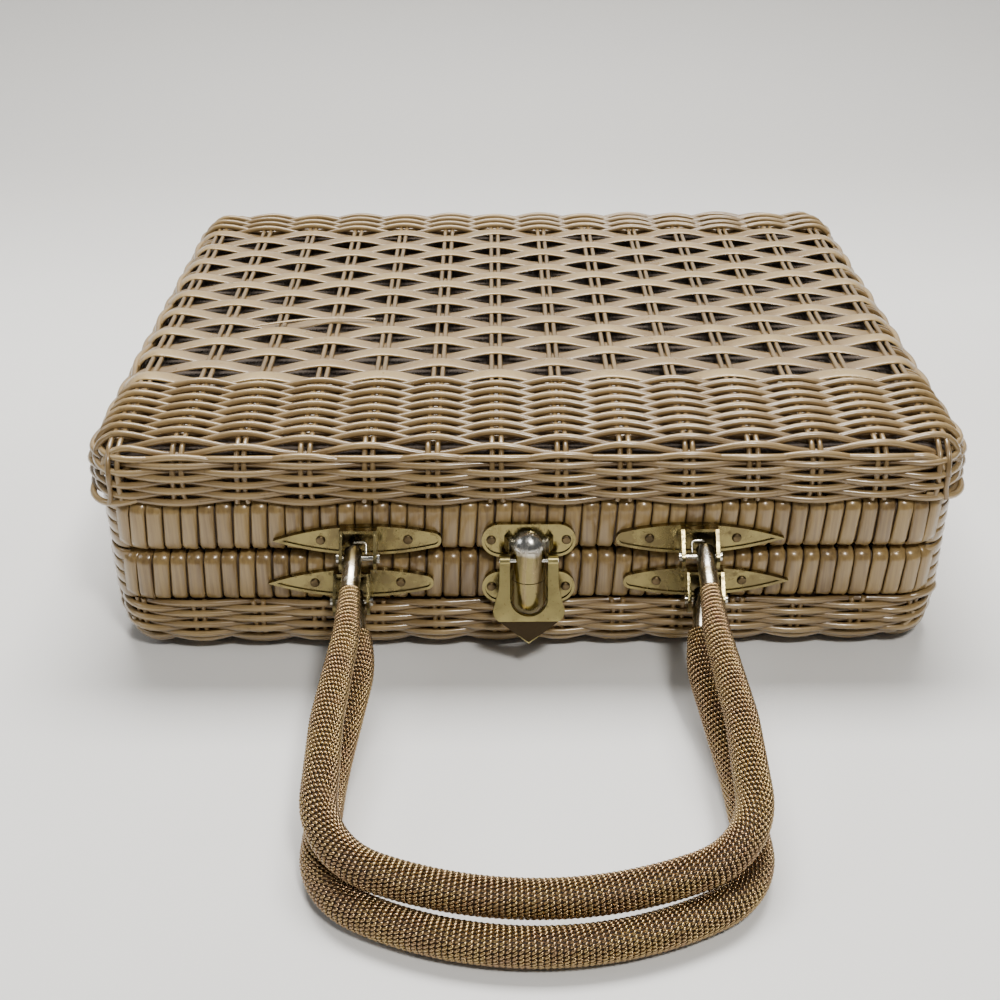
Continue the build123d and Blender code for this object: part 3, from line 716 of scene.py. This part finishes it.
def weave_rows(tray, settings, rng):
    """Paths of the reed rows and of the flat strips."""
    panel_spacing, wall_spacing = 2.1 * MM, 2.4 * MM
    reeds, strips = [], []
    for index, (v, is_strip) in enumerate(row_places(tray, settings)):
        if is_strip:
            lift, sway, wander = settings.strip_lift, settings.strip_sway, (0.9 * MM, 190 * MM)
        else:
            lift, sway, wander = settings.panel_lift, settings.panel_sway, (0.45 * MM, 160 * MM)
        row = tray.level_row(v, index, lift, sway, drifting(rng, *wander), panel_spacing)
        (strips if is_strip else reeds).append((*row, False))
    for index in range(settings.wall_rows):
        u = (index + 0.45) * settings.wall_pitch
        drift = drifting(rng, 0.5 * MM, tray.around)
        row = tray.ring(u, index, settings.wall_lift, -settings.wall_sway, drift, wall_spacing)
        reeds.append((*row, True))
    return reeds, strips


def stray_loop(tray, hand, u, span):
    """A loose end of reed that bows off the wall by a front corner and comes back."""
    bulge, drop, tuck = 3.0 * MM, 1.6 * MM, 0.4 * MM
    middle = hand * (tray.half_x - tray.corner * (1 - pi / 4))
    path = []
    for t in np.linspace(0, 1, 12):
        arch = sin(pi * t)
        point, normal = tray.on_wall(middle + (t - 0.5) * span, u - drop * arch)
        path.append(point + normal * (bulge * arch - tuck))
    # 1.0 gives this cane the full painted highlight and no painted shade.
    return path, [1.0] * len(path), False


def split_sliver(tray):
    """A sliver that has split off a flat strip and stands a little proud of it."""
    start, end = (-97 * MM, -18 * MM), (-54 * MM, -12 * MM)
    height, rise = 1.2 * MM, 1.4 * MM
    path = []
    for t in np.linspace(0, 1, 12):
        x, y = (a + (b - a) * t for a, b in zip(start, end))
        path.append((x, y, tray.face + tray.side * (height + rise * sin(pi * t))))
    # 1.0 gives this cane the full painted highlight and no painted shade.
    return path, [1.0] * len(path), False


def stake_paths(tray, settings, rng):
    """The paired stakes: some run front to rear over the tray, the rest climb the sides."""
    paths = []
    half = settings.stake_spread / 2
    flat = 2 * (tray.half_y - tray.edge)
    quarter = tray.edge * pi / 2
    splay, spacing, most_lean = 1.6 * MM, 3.6 * MM, 0.25
    for j in range(-settings.stakes_around // 2, settings.stakes_around // 2):
        way = (j + 0.5) * tray.step
        plan, _ = tray.outline(way)
        inner = abs(plan[0]) < tray.half_x - tray.edge
        if inner and plan[1] > 0:
            continue
        for side in (-1, 1):
            lean = rng.uniform(-most_lean, most_lean) * MM
            path = []
            if inner:
                ways = np.concatenate([np.linspace(-quarter - tray.wall, -quarter, 8),
                                       np.arange(-quarter, flat + quarter, spacing),
                                       np.linspace(flat + quarter, flat + quarter + tray.wall, 8)])
                for v in ways:
                    point, _, _ = tray.across(min(max(v, -quarter), flat + quarter))
                    below = max(0.0, -quarter - v, v - flat - quarter)
                    spread = half + splay * max(0.0, below / tray.wall - 0.55) ** 1.2
                    point = point + np.array((plan[0] + side * spread + lean, 0, 0))
                    path.append(point - tray.up * below)
            else:
                for u in np.linspace(0, tray.wall + quarter * 0.9, 12):
                    path.append(tray.on_wall(way + side * half, u)[0])
            # 0.5 gives the stakes half the cane's painted highlight and half its painted shade.
            paths.append((path, [0.5] * len(path), False))
    return paths


def rounded_ring(far, corner, radius, z, steps):
    """A level ring about a box's far corner: arcs of a radius round its corner centres."""
    ring = []
    for cx, cy, start in ((1, -1, -pi / 2), (1, 1, 0), (-1, 1, pi / 2), (-1, -1, pi)):
        for turn in np.linspace(start, start + pi / 2, steps):
            ring.append((cx * (far.x - corner) + radius * cos(turn),
                         cy * (far.y - corner) + radius * sin(turn), z))
    return ring


def tray_lining(tray):
    """The cloth tray close behind the weave; it steps in where it passes through the rim."""
    low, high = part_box(f"{tray.name}_lining")
    mouth = low.z if tray.name == "lid" else high.z
    clear, depth = 3.3 * MM, 3.4 * MM
    step_low, step_high = 1.0 * MM, 1.5 * MM
    step_out = tray.half_x - clear - high.x
    floor = tray.face - tray.side * depth
    edge, corner, corner_steps = 7 * MM, 12 * MM, 9
    levels = [(mouth, 0.0), (tray.rim - tray.side * step_low, 0.0),
              (tray.rim + tray.side * step_high, step_out)]
    for turn in np.linspace(0, pi / 2, 7):
        levels.append((floor - tray.side * edge * (1 - sin(turn)),
                       step_out - edge * (1 - cos(turn))))
    points = []
    for z, grow in levels:
        points += rounded_ring(high, corner, corner + grow, z, corner_steps)
    sides = 4 * corner_steps
    faces = [(r + k, r + (k + 1) % sides, r + sides + (k + 1) % sides, r + sides + k)
             for r in range(0, (len(levels) - 1) * sides, sides) for k in range(sides)]
    faces.append(tuple(range(len(points) - sides, len(points))))
    mesh = bpy.data.meshes.new(f"{tray.name}_cloth")
    mesh.from_pydata(points, [], faces if tray.name == "lid" else [f[::-1] for f in faces])
    mesh.shade_smooth()
    return mesh


class BAG_OT_weave(bpy.types.Operator):
    """Weaves both trays and hangs their linings"""

    bl_idname = "bag.weave"
    bl_label = "Weave the trays"

    def execute(self, context):
        settings = context.scene.bag_weave
        reed = cane_finish("pearly_reed", settings.reed_light, settings.reed_dark, 0.30)
        strip = cane_finish("pearly_strip", settings.strip_light, settings.strip_dark, 0.27)
        cloth = cloth_finish(tuple(settings.lining))
        tree = strand_tree()
        for name, body in HALVES:
            rng = np.random.default_rng(SEED + len(name))
            tray = Tray(name, settings)
            reeds, strips = weave_rows(tray, settings, rng)
            stakes = stake_paths(tray, settings, rng)
            for hand, u, span in STRAY_LOOPS[name]:
                reeds.append(stray_loop(tray, hand, u * MM, span * MM))
            groups = [("reeds", reeds, settings.reed_width, settings.reed_width, 7, 0.28, reed),
                      ("strips", strips, settings.strip_width, settings.strip_thick, 8, 0.3, strip),
                      ("stakes", stakes, settings.stake_width, settings.stake_width, 6, 0.15, reed)]
            if name == "lid":
                groups.append(("sliver", [split_sliver(tray)], 1.5 * MM, 0.6 * MM, 6, 0.2, strip))
            for word, paths, level, upright, sides, wander, material in groups:
                tints = rng.uniform(0, 1, len(paths))
                # The crest values carry the cane's painted highlight and painted shade.
                source = path_mesh(f"{name}_{word}", [(p, closed) for p, _, closed in paths],
                                   tints, [lit_crests for _, lit_crests, _ in paths])
                mesh = grown(f"{name}_{word}", source, tree, {
                    "Level width": level, "Upright width": upright, "Sides": sides,
                    "Wander": wander * MM, "Material": material})
                replaced = (f"{name}_basket",) if word == "reeds" else ()
                piece(f"{name}_{word}", mesh, body, replaced)
            mesh = tray_lining(tray)
            mesh.materials.append(cloth)
            lining = piece(f"{name}_cloth", mesh, body, (f"{name}_lining",))
            thicken = lining.modifiers.new("Thickness", "SOLIDIFY")
            thicken.thickness = 0.8 * MM
        return {"FINISHED"}


# ---- The bound rims ------------------------------------------------------------------------

def turn_tree():
    """Winds one turn of flat cane round the rim at every point of a path."""
    tree, given = new_tree("Binding turn", {
        "Rim thickness": RIM_THICK, "Rim height": 17.8 * MM, "Roll": 2.4 * MM, "Width": 5.05 * MM,
        "Thickness": 0.85 * MM, "Slant": radians(3), "Seed": SEED, "Material": None})
    loop = rolled_box(tree, given["Rim thickness"], given["Rim height"], given["Roll"], 3)
    loop = add_node(tree, "GeometryNodeSetCurveNormal", {"Curve": loop}, mode="Z_UP")
    flat = rolled_box(tree, given["Thickness"], given["Width"], 0.6 * MM, 1)
    strip = add_node(tree, "GeometryNodeCurveToMesh", {"Curve": loop, "Profile Curve": flat})
    turn = add_node(tree, "FunctionNodeAxesToRotation", {
        "Primary Axis": stored(tree, "along", "FLOAT_VECTOR"), "Secondary Axis": (0.0, 0.0, 1.0)},
        primary_axis="Z", secondary_axis="Y")
    lean = random_number(tree, given, -TURN_LEAN, TURN_LEAN) + given["Slant"]
    angles = add_node(tree, "ShaderNodeCombineXYZ", {0: lean, 1: 0.0, 2: 0.0})
    tilt = add_node(tree, "FunctionNodeEulerToRotation", {0: angles})
    turned = add_node(tree, "FunctionNodeRotateRotation", {0: turn, 1: tilt},
                      rotation_space="LOCAL")
    proud = add_node(tree, "FunctionNodeRandomValue", {
        0: (0.985, 0.99, 0.93), 1: (1.02, 1.0, 1.0), "Seed": given["Seed"]},
        data_type="FLOAT_VECTOR")
    return scatter(tree, given, {"Points": given["Geometry"], "Instance": softened(tree, strip),
                                 "Rotation": turned, "Scale": proud})


def turn_points(high, z, settings):
    """Where the turns of binding are: the four sides, and a way round each corner."""
    corner, middle = settings.corner, settings.corner - RIM_THICK / 2
    points, alongs = [], []
    sides = ((-pi / 2, high.x - corner, high.y - corner, settings.front_reach),
             (0.0, high.y - corner, high.x - corner, settings.side_reach),
             (pi / 2, high.x - corner, high.y - corner, settings.front_reach),
             (pi, high.y - corner, high.x - corner, settings.side_reach))
    for facing, half_run, depth, reach in sides:
        out = Vector((cos(facing), sin(facing), 0))
        along = Vector((-sin(facing), cos(facing), 0))
        extent = half_run + reach * corner
        turns = round(2 * extent / settings.strip_pitch)
        for k in range(turns):
            way = ((k + 0.5) / turns * 2 - 1) * extent
            past = max(0.0, abs(way) - half_run) / corner * (1 if way > 0 else -1)
            centre = out * depth + along * max(-half_run, min(half_run, way))
            place = centre + (out * cos(past) + along * sin(past)) * middle
            points.append((place.x, place.y, z))
            alongs.append(along * cos(past) - out * sin(past))
    mesh = bpy.data.meshes.new("turns")
    mesh.from_pydata(points, [], [])
    values = mesh.attributes.new("along", "FLOAT_VECTOR", "POINT")
    values.data.foreach_set("vector", [c for a in alongs for c in a])
    return mesh


def corner_paths(low, high, settings):
    """Level strips on each upright corner, between the turns of two sides."""
    paths = []
    height = (high.z - low.z) / settings.corner_strips
    lap = radians(9)
    first, last = settings.front_reach - lap, pi / 2 - settings.side_reach + lap
    inset, end_tuck = 0.75 * MM, 1.3 * MM
    for cx in (-1, 1):
        for cy in (-1, 1):
            for k in range(settings.corner_strips):
                z = low.z + (k + 0.5) * height
                path = []
                for t in np.linspace(0, 1, 15):
                    turn = first + (last - first) * t
                    radius = settings.corner - inset - end_tuck * abs(2 * t - 1) ** 4
                    path.append((cx * (high.x - settings.corner + radius * sin(turn)),
                                 cy * (high.y - settings.corner + radius * cos(turn)), z))
                paths.append((path, False))
    return paths


class BAG_OT_bind(bpy.types.Operator):
    """Binds both rims with flat cane"""

    bl_idname = "bag.bind"
    bl_label = "Bind the rims"

    def execute(self, context):
        settings = context.scene.bag_rims
        material = binding_finish(settings.light, settings.dark)
        tree = turn_tree()
        strand = strand_tree()
        band = strand_tree(boxed=True)
        wood = wood_finish(settings.hoop)
        for name, body in HALVES:
            low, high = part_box(f"{name}_binding")
            height, middle = high.z - low.z, (low.z + high.z) / 2
            mesh = grown(f"{name}_turns", turn_points(high, middle, settings), tree, {
                "Rim thickness": RIM_THICK - settings.strip_thick,
                "Rim height": height - settings.strip_thick,
                "Roll": settings.roll, "Width": settings.strip_pitch - settings.strip_gap,
                "Thickness": settings.strip_thick, "Slant": settings.strip_slant,
                "Seed": SEED + len(name), "Material": material})
            piece(f"{name}_turns", mesh, body, (f"{name}_binding",))
            inset = 2 * settings.strip_thick + 0.3 * MM
            route = rounded_ring(high, settings.corner, settings.corner - RIM_THICK / 2, middle, 10)
            mesh = grown(f"{name}_hoops", path_mesh(f"{name}_hoops", [(route, True)]), band, {
                "Level width": RIM_THICK - inset, "Upright width": height - inset,
                "Sides": 3, "Wander": 0.0, "Material": wood})
            piece(f"{name}_hoops", mesh, body,
                  (f"{name}_outer_hoop", f"{name}_inner_hoop"))
            rng = np.random.default_rng(SEED + 20 + len(name))
            paths = corner_paths(low, high, settings)
            source = path_mesh(f"{name}_corners", paths, rng.uniform(0, 1, len(paths)))
            mesh = grown(f"{name}_corners", source, strand, {
                "Level width": 1.4 * MM, "Sides": 10,
                "Upright width": height / settings.corner_strips * 1.04,
                "Wander": 0.3 * MM, "Material": material})
            piece(f"{name}_corners", mesh, body)
        return {"FINISHED"}


# ---- The handles ---------------------------------------------------------------------------

# How each handle lies, right side, in mm: the hook's and the neck's place across, the way from
# the pin to the neck, half the handle's width, the crown's distance from the sleeve's front and
# its height, the radius of its bow, the bow's turn to one side in degrees, and the mesh's radius
# at the ferrule. The lid handle's shoulder is a way from its pin; the lower one's is a place in
# depth, where the handle meets the floor. The mesh starts FERRULE_END from the hook.
FERRULE_END = 14.2
HANDLE_FORMS = {
    "lid": {"hook_x": 54.5, "neck_x": 54.3, "neck": 30, "side_x": 57.6, "crown_y": 4.7,
            "crown_z": 12, "bow": 116, "turn": 20.7, "start": 3.25, "shoulder": 62},
    "lower": {"hook_x": 54.6, "neck_x": 51.4, "neck": 26.5, "side_x": 57.8, "crown_y": 4.9,
              "crown_z": 5.4, "bow": 92, "turn": 28.8, "start": 4.35, "shoulder": -186.5},
}


def rounded_path(corners, bends, spacing):
    """Points along straight runs joined by tangent arcs."""
    points = [corners[0]]
    for before, corner, after, bend in zip(corners, corners[1:], corners[2:], bends):
        back = (before - corner).normalized()
        ahead = (after - corner).normalized()
        half = (pi - back.angle(ahead)) / 2
        reach = bend * tan(half)
        centre = corner + (back + ahead).normalized() * (bend / cos(half))
        first = (corner + back * reach - centre).normalized()
        last = (corner + ahead * reach - centre).normalized()
        steps = max(2, int(2 * half * bend / spacing))
        for k in range(steps + 1):
            points.append(centre + first.slerp(last, k / steps) * bend)
    points.append(corners[-1])
    return points


def handle_route(name, form):
    """The middle line of a handle's mesh, from the left ferrule round to the right one."""
    hinge = next(j for j in frame["joints"] if j["child"] == f"{name}_handle")
    pin = Vector((0, *hinge["pos_m"][1:]))
    side_x, bow, turn = form["side_x"] * MM, form["bow"] * MM, radians(form["turn"])
    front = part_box(f"{name}_handle_sleeve")[0].y
    crown = Vector((0, front + form["crown_y"] * MM, form["crown_z"] * MM))
    if name == "lid":
        shoulder = pin + (crown - pin).normalized() * form["shoulder"] * MM
    else:
        shoulder = Vector((0, form["shoulder"] * MM, crown.z))
    slope = (shoulder - pin).normalized()
    run = (crown - shoulder).normalized()
    hook = Vector((form["hook_x"] * MM, pin.y, pin.z))
    neck = Vector((form["neck_x"] * MM, pin.y, pin.z)) + slope * (form["neck"] * MM)
    start = hook + (neck - hook).normalized() * FERRULE_END * MM
    shoulder.x = side_x
    peak = crown + run * (bow / cos(turn) - bow)
    corner = peak - run * (side_x * tan(turn)) + Vector((side_x, 0, 0))
    right = [start, neck, shoulder, corner]
    left = [Vector((-p.x, p.y, p.z)) for p in right]
    bends = [bend * MM for bend in (40, 60, 25, form["bow"], 25, 60, 40)]
    return rounded_path(left + [peak] + right[::-1], bends, 2 * MM)


def link_tree():
    """Covers a path with rings of slanted links."""
    tree, given = new_tree("Knitted links", {
        "Row pitch": 1.5 * MM, "Links around": 25, "Link length": 1.9 * MM,
        "Link width": 0.86 * MM, "Slant": radians(58), "Seed": SEED, "Material": None})
    curve = add_node(tree, "GeometryNodeMeshToCurve", {"Mesh": given["Geometry"]})
    curve = add_node(tree, "GeometryNodeResampleCurve",
                     {"Curve": curve, "Length": given["Row pitch"]}, mode="LENGTH")
    index = Number(add_node(tree, "GeometryNodeInputIndex").outputs[0])
    twist = index * (pi / Number(given["Links around"]))
    curve = add_node(tree, "GeometryNodeSetCurveTilt", {"Curve": curve, "Tilt": twist})
    curve = add_node(tree, "GeometryNodeStoreNamedAttribute", {
        "Geometry": curve, "Name": "way", "Value": add_node(tree, "GeometryNodeInputTangent")},
        data_type="FLOAT_VECTOR", domain="POINT")
    tube = add_node(tree, "GeometryNodeCurveToMesh", {
        "Curve": curve, "Profile Curve": circle(tree, given["Links around"], 1.0),
        "Scale": stored(tree, "size")})
    normal = add_node(tree, "GeometryNodeInputNormal")
    way = stored(tree, "way", "FLOAT_VECTOR")
    side = vector_maths(tree, "CROSS_PRODUCT", {0: normal, 1: way})
    cosine, sine = [add_node(tree, "ShaderNodeMath", {0: given["Slant"]}, operation=operation)
                    for operation in ("COSINE", "SINE")]
    ahead = vector_maths(tree, "SCALE", {0: way, "Scale": cosine})
    aside = vector_maths(tree, "SCALE", {0: side, "Scale": sine})
    turn = add_node(tree, "FunctionNodeAxesToRotation", {
        "Primary Axis": normal, "Secondary Axis": vector_maths(tree, "ADD", {0: ahead, 1: aside})},
        primary_axis="Z", secondary_axis="X")
    bead = add_node(tree, "GeometryNodeMeshUVSphere", {"Segments": 6, "Rings": 3, "Radius": 0.55})
    form = add_node(tree, "ShaderNodeCombineXYZ", {
        0: given["Link length"], 1: given["Link width"], 2: given["Link width"]})
    bead = add_node(tree, "GeometryNodeTransform", {"Geometry": bead, "Scale": form})
    return scatter(tree, given, {"Points": tube, "Instance": softened(tree, bead),
                                 "Rotation": turn})


def core_tree():
    """The dark tube under the links."""
    tree, given = new_tree("Mesh core", {"Sides": 20, "Depth": 0.45 * MM, "Material": None})
    curve = add_node(tree, "GeometryNodeMeshToCurve", {"Mesh": given["Geometry"]})
    radius = Number(stored(tree, "size").outputs[0]) - given["Depth"]
    tube = add_node(tree, "GeometryNodeCurveToMesh", {
        "Curve": curve, "Profile Curve": circle(tree, given["Sides"], 1.0), "Scale": radius,
        "Fill Caps": True})
    return close_tree(tree, softened(tree, tube), given["Material"])


class BAG_OT_handles(bpy.types.Operator):
    """Knits the metal mesh of both handles"""

    bl_idname = "bag.handles"
    bl_label = "Knit the handles"

    def execute(self, context):
        settings = context.scene.bag_handles
        links, core = link_finish(settings), core_finish(settings.core)
        link_nodes, core_nodes = link_tree(), core_tree()
        swell, core_depth = 70 * MM, 0.2 * MM
        for name, form in HANDLE_FORMS.items():
            body = f"{name}_handle"
            route = handle_route(name, form)
            ways = np.cumsum([0.0] + [(b - a).length for a, b in zip(route, route[1:])])
            nearest = np.minimum(ways, ways[-1] - ways)
            start = form["start"] * MM
            outer = start + (settings.thick - start) * np.clip(nearest / swell, 0, 1) ** 0.55
            sizes = outer - settings.link_width * 0.5
            for word, tree, values in (
                    ("mesh", link_nodes, {"Row pitch": settings.row_pitch,
                                          "Links around": settings.links_around,
                                          "Link length": settings.link_length,
                                          "Link width": settings.link_width,
                                          "Slant": settings.link_slant, "Material": links}),
                    ("core", core_nodes, {"Depth": core_depth, "Material": core})):
                source = path_mesh(f"{name}_{word}", [(route, False)], None, [sizes])
                mesh = grown(f"{name}_{word}", source, tree, values)
                node = f"{body}_sleeve" if word == "mesh" else f"{body}_core"
                piece(f"{name}_{word}", mesh, body, (node,))
        return {"FINISHED"}


# ---- The metal pieces ----------------------------------------------------------------------

def soften_tree():
    """Smooths a casting's faces and gives them its metal."""
    tree, given = new_tree("Softened casting", {"Material": None})
    return close_tree(tree, softened(tree, given["Geometry"]), given["Material"])


def dress(node, material, tree):
    """Gives a CAD node its material, smooth across its shallow edges."""
    shown = frame["nodes"][node]
    for slot in shown.material_slots:
        slot.material = material
    weld = shown.modifiers.new("Weld", "WELD")
    weld.merge_threshold = 0.001 * MM
    soften = shown.modifiers.new("Soften", "NODES")
    soften.node_group = tree
    set_input(soften, "Material", material)
    crease = shown.modifiers.new("Crease", "EDGE_SPLIT")
    crease.split_angle = radians(28)


class BAG_OT_metal(bpy.types.Operator):
    """Finishes the castings, tacks, pins, hinges and the clasp"""

    bl_idname = "bag.metal"
    bl_label = "Finish the metal"

    def execute(self, context):
        settings = context.scene.bag_metal
        tack_worn = [c * 0.6 for c in settings.tack]
        gold = metal_finish("worn_gold", settings.gold, settings.gold_worn, 0.20, 0.35)
        tack = metal_finish("dark_tack", settings.tack, tack_worn, 0.34, 0.6)
        bright = metal_finish("bright_pin", settings.silver, (0.55, 0.50, 0.38), 0.16, 0.2)
        tube = metal_finish("ferrule_plating", settings.silver, settings.gold_worn, 0.18, 0.3)
        finishes = ((("_plate_", "leaf", "hinge_pin"), gold), (("tacks",), tack),
                    (("clasp_lid_plate", "clasp_lower_plate"), barrel_finish(settings)),
                    (("ferrule",), tube), (("_pin", "hooks", "tongue"), bright),
                    (("clasp_lever",), lever_finish(settings)))
        tree = soften_tree()
        for node in frame["nodes"]:
            fitting = [metal for words, metal in finishes if any(word in node for word in words)]
            if fitting:
                dress(node, fitting[0], tree)
        return {"FINISHED"}


# ---- The stage -----------------------------------------------------------------------------

# Each lamp's name, place, target, size, power in watts and tone.
LAMPS = (
    ("overhead", (0.0, 0.40, 1.15), (0.0, -0.05, 0.0), (0.9, 0.5), 33.0, (1.0, 0.98, 0.95)),
    ("front lamp", (0.20, -0.65, 0.85), (0.0, -0.10, 0.03), (0.14, 0.14), 6.5, (1.0, 0.97, 0.92)),
    ("window", (-1.0, -0.3, 0.7), (0.0, -0.05, 0.03), (0.4, 0.4), 2.0, (0.95, 0.975, 1.0)),
)


def area_light(name, place, target, size, power, tone):
    """A rectangular lamp that faces its target."""
    lamp = bpy.data.lights.new(name, "AREA")
    lamp.shape = "RECTANGLE"
    lamp.size, lamp.size_y = size
    lamp.energy = power
    lamp.color = tone
    made = bpy.data.objects.new(name, lamp)
    made.location = place
    made.rotation_euler = (Vector(target) - Vector(place)).to_track_quat("-Z", "Y").to_euler()
    bpy.context.scene.collection.objects.link(made)


def lay_floor(scene):
    """A pale sheet that runs under the bag and curves up behind it, with painted shade that darkens
    it towards the rear.
    """
    f = Finish("pale_floor")
    cloud = f.ramp(f.noise(4, 4), 0.3, 0.7)
    paper = f.mix(cloud, (0.76, 0.755, 0.74), (0.80, 0.80, 0.785))
    # Painted shade: darker towards the rear and up the backdrop.
    paper = f.mix(f.ramp(f.axes()[1], 0.1, 0.56), paper, (0.50, 0.495, 0.48))
    half, front, rear, height, bend = 2.2, -2.0, 0.42, 1.8, 0.16
    rows = [(front, 0.0), (rear, 0.0)]
    rows += [(rear + bend * sin(a), bend * (1 - cos(a))) for a in np.linspace(0.15, pi / 2, 12)]
    rows.append((rear + bend, height))
    points = [(x, y, z) for y, z in rows for x in (-half, half)]
    faces = [(2 * k, 2 * k + 1, 2 * k + 3, 2 * k + 2) for k in range(len(rows) - 1)]
    mesh = bpy.data.meshes.new("floor")
    mesh.from_pydata(points, [], faces)
    mesh.materials.append(f.shade({"Base Color": paper, "Roughness": 0.62}))
    mesh.shade_smooth()
    floor = bpy.data.objects.new("floor", mesh)
    scene.collection.objects.link(floor)


def dim_room(scene):
    """The pale light that fills the room."""
    world = bpy.data.worlds.new("room")
    scene.world = world
    world.use_nodes = True
    sky = world.node_tree.nodes["Background"]
    sky.inputs[0].default_value = (0.86, 0.88, 0.90, 1.0)
    sky.inputs[1].default_value = 0.13


def place_camera(scene):
    """The camera, above and in front of the bag."""
    lens = bpy.data.cameras.new("camera")
    lens.lens = 50.4
    lens.sensor_width = 36.0
    lens.clip_start = 0.01
    camera = bpy.data.objects.new("camera", lens)
    place = (-0.0109, -0.4922, 0.2693)
    pitch, yaw, roll = radians(29.41), radians(0.30), radians(-0.18)
    ahead = Vector((sin(yaw) * cos(pitch), cos(yaw) * cos(pitch), -sin(pitch)))
    right = Vector((cos(yaw), -sin(yaw), 0))
    above = right.cross(ahead)
    rolled = right * cos(roll) + above * sin(roll)
    upright = -right * sin(roll) + above * cos(roll)
    basis = Matrix((rolled, upright, -ahead)).transposed().to_4x4()
    camera.matrix_world = Matrix.Translation(place) @ basis
    scene.collection.objects.link(camera)
    scene.camera = camera


class BAG_OT_stage(bpy.types.Operator):
    """Sets the floor, the lights and the camera"""

    bl_idname = "bag.stage"
    bl_label = "Set the stage"

    def execute(self, context):
        lay_floor(context.scene)
        dim_room(context.scene)
        for lamp in LAMPS:
            area_light(*lamp)
        place_camera(context.scene)
        return {"FINISHED"}


# ---- Panel and registration ----------------------------------------------------------------

class BAG_PT_panel(bpy.types.Panel):
    """Lists the bag's pieces and their settings"""

    bl_idname = "BAG_PT_panel"
    bl_label = "Wicker Box Bag"
    bl_space_type = "VIEW_3D"
    bl_region_type = "UI"
    bl_category = "Box Bag"

    def draw(self, context):
        layout = self.layout
        for operator in OPERATORS:
            layout.operator(operator.bl_idname)
        for name, group in SETTINGS.items():
            box = layout.box()
            box.label(text=group.__doc__)
            for field in group.__annotations__:
                box.prop(getattr(context.scene, name), field)


OPERATORS = (BAG_OT_weave, BAG_OT_bind, BAG_OT_handles, BAG_OT_metal, BAG_OT_stage)


def register():
    """Adds the settings, the operators and the panel."""
    for kind in (*SETTINGS.values(), *OPERATORS, BAG_PT_panel):
        bpy.utils.register_class(kind)
    for name, group in SETTINGS.items():
        setattr(bpy.types.Scene, name, bpy.props.PointerProperty(type=group))


def unregister():
    """Takes away what register added."""
    for name in SETTINGS:
        delattr(bpy.types.Scene, name)
    for kind in (BAG_PT_panel, *reversed(OPERATORS), *SETTINGS.values()):
        bpy.utils.unregister_class(kind)


def main():
    """Builds the bag over its frame."""
    register()
    bpy.ops.bag.weave()
    bpy.ops.bag.bind()
    bpy.ops.bag.handles()
    bpy.ops.bag.metal()
    bpy.ops.bag.stage()


if __name__ == "__main__":
    main()
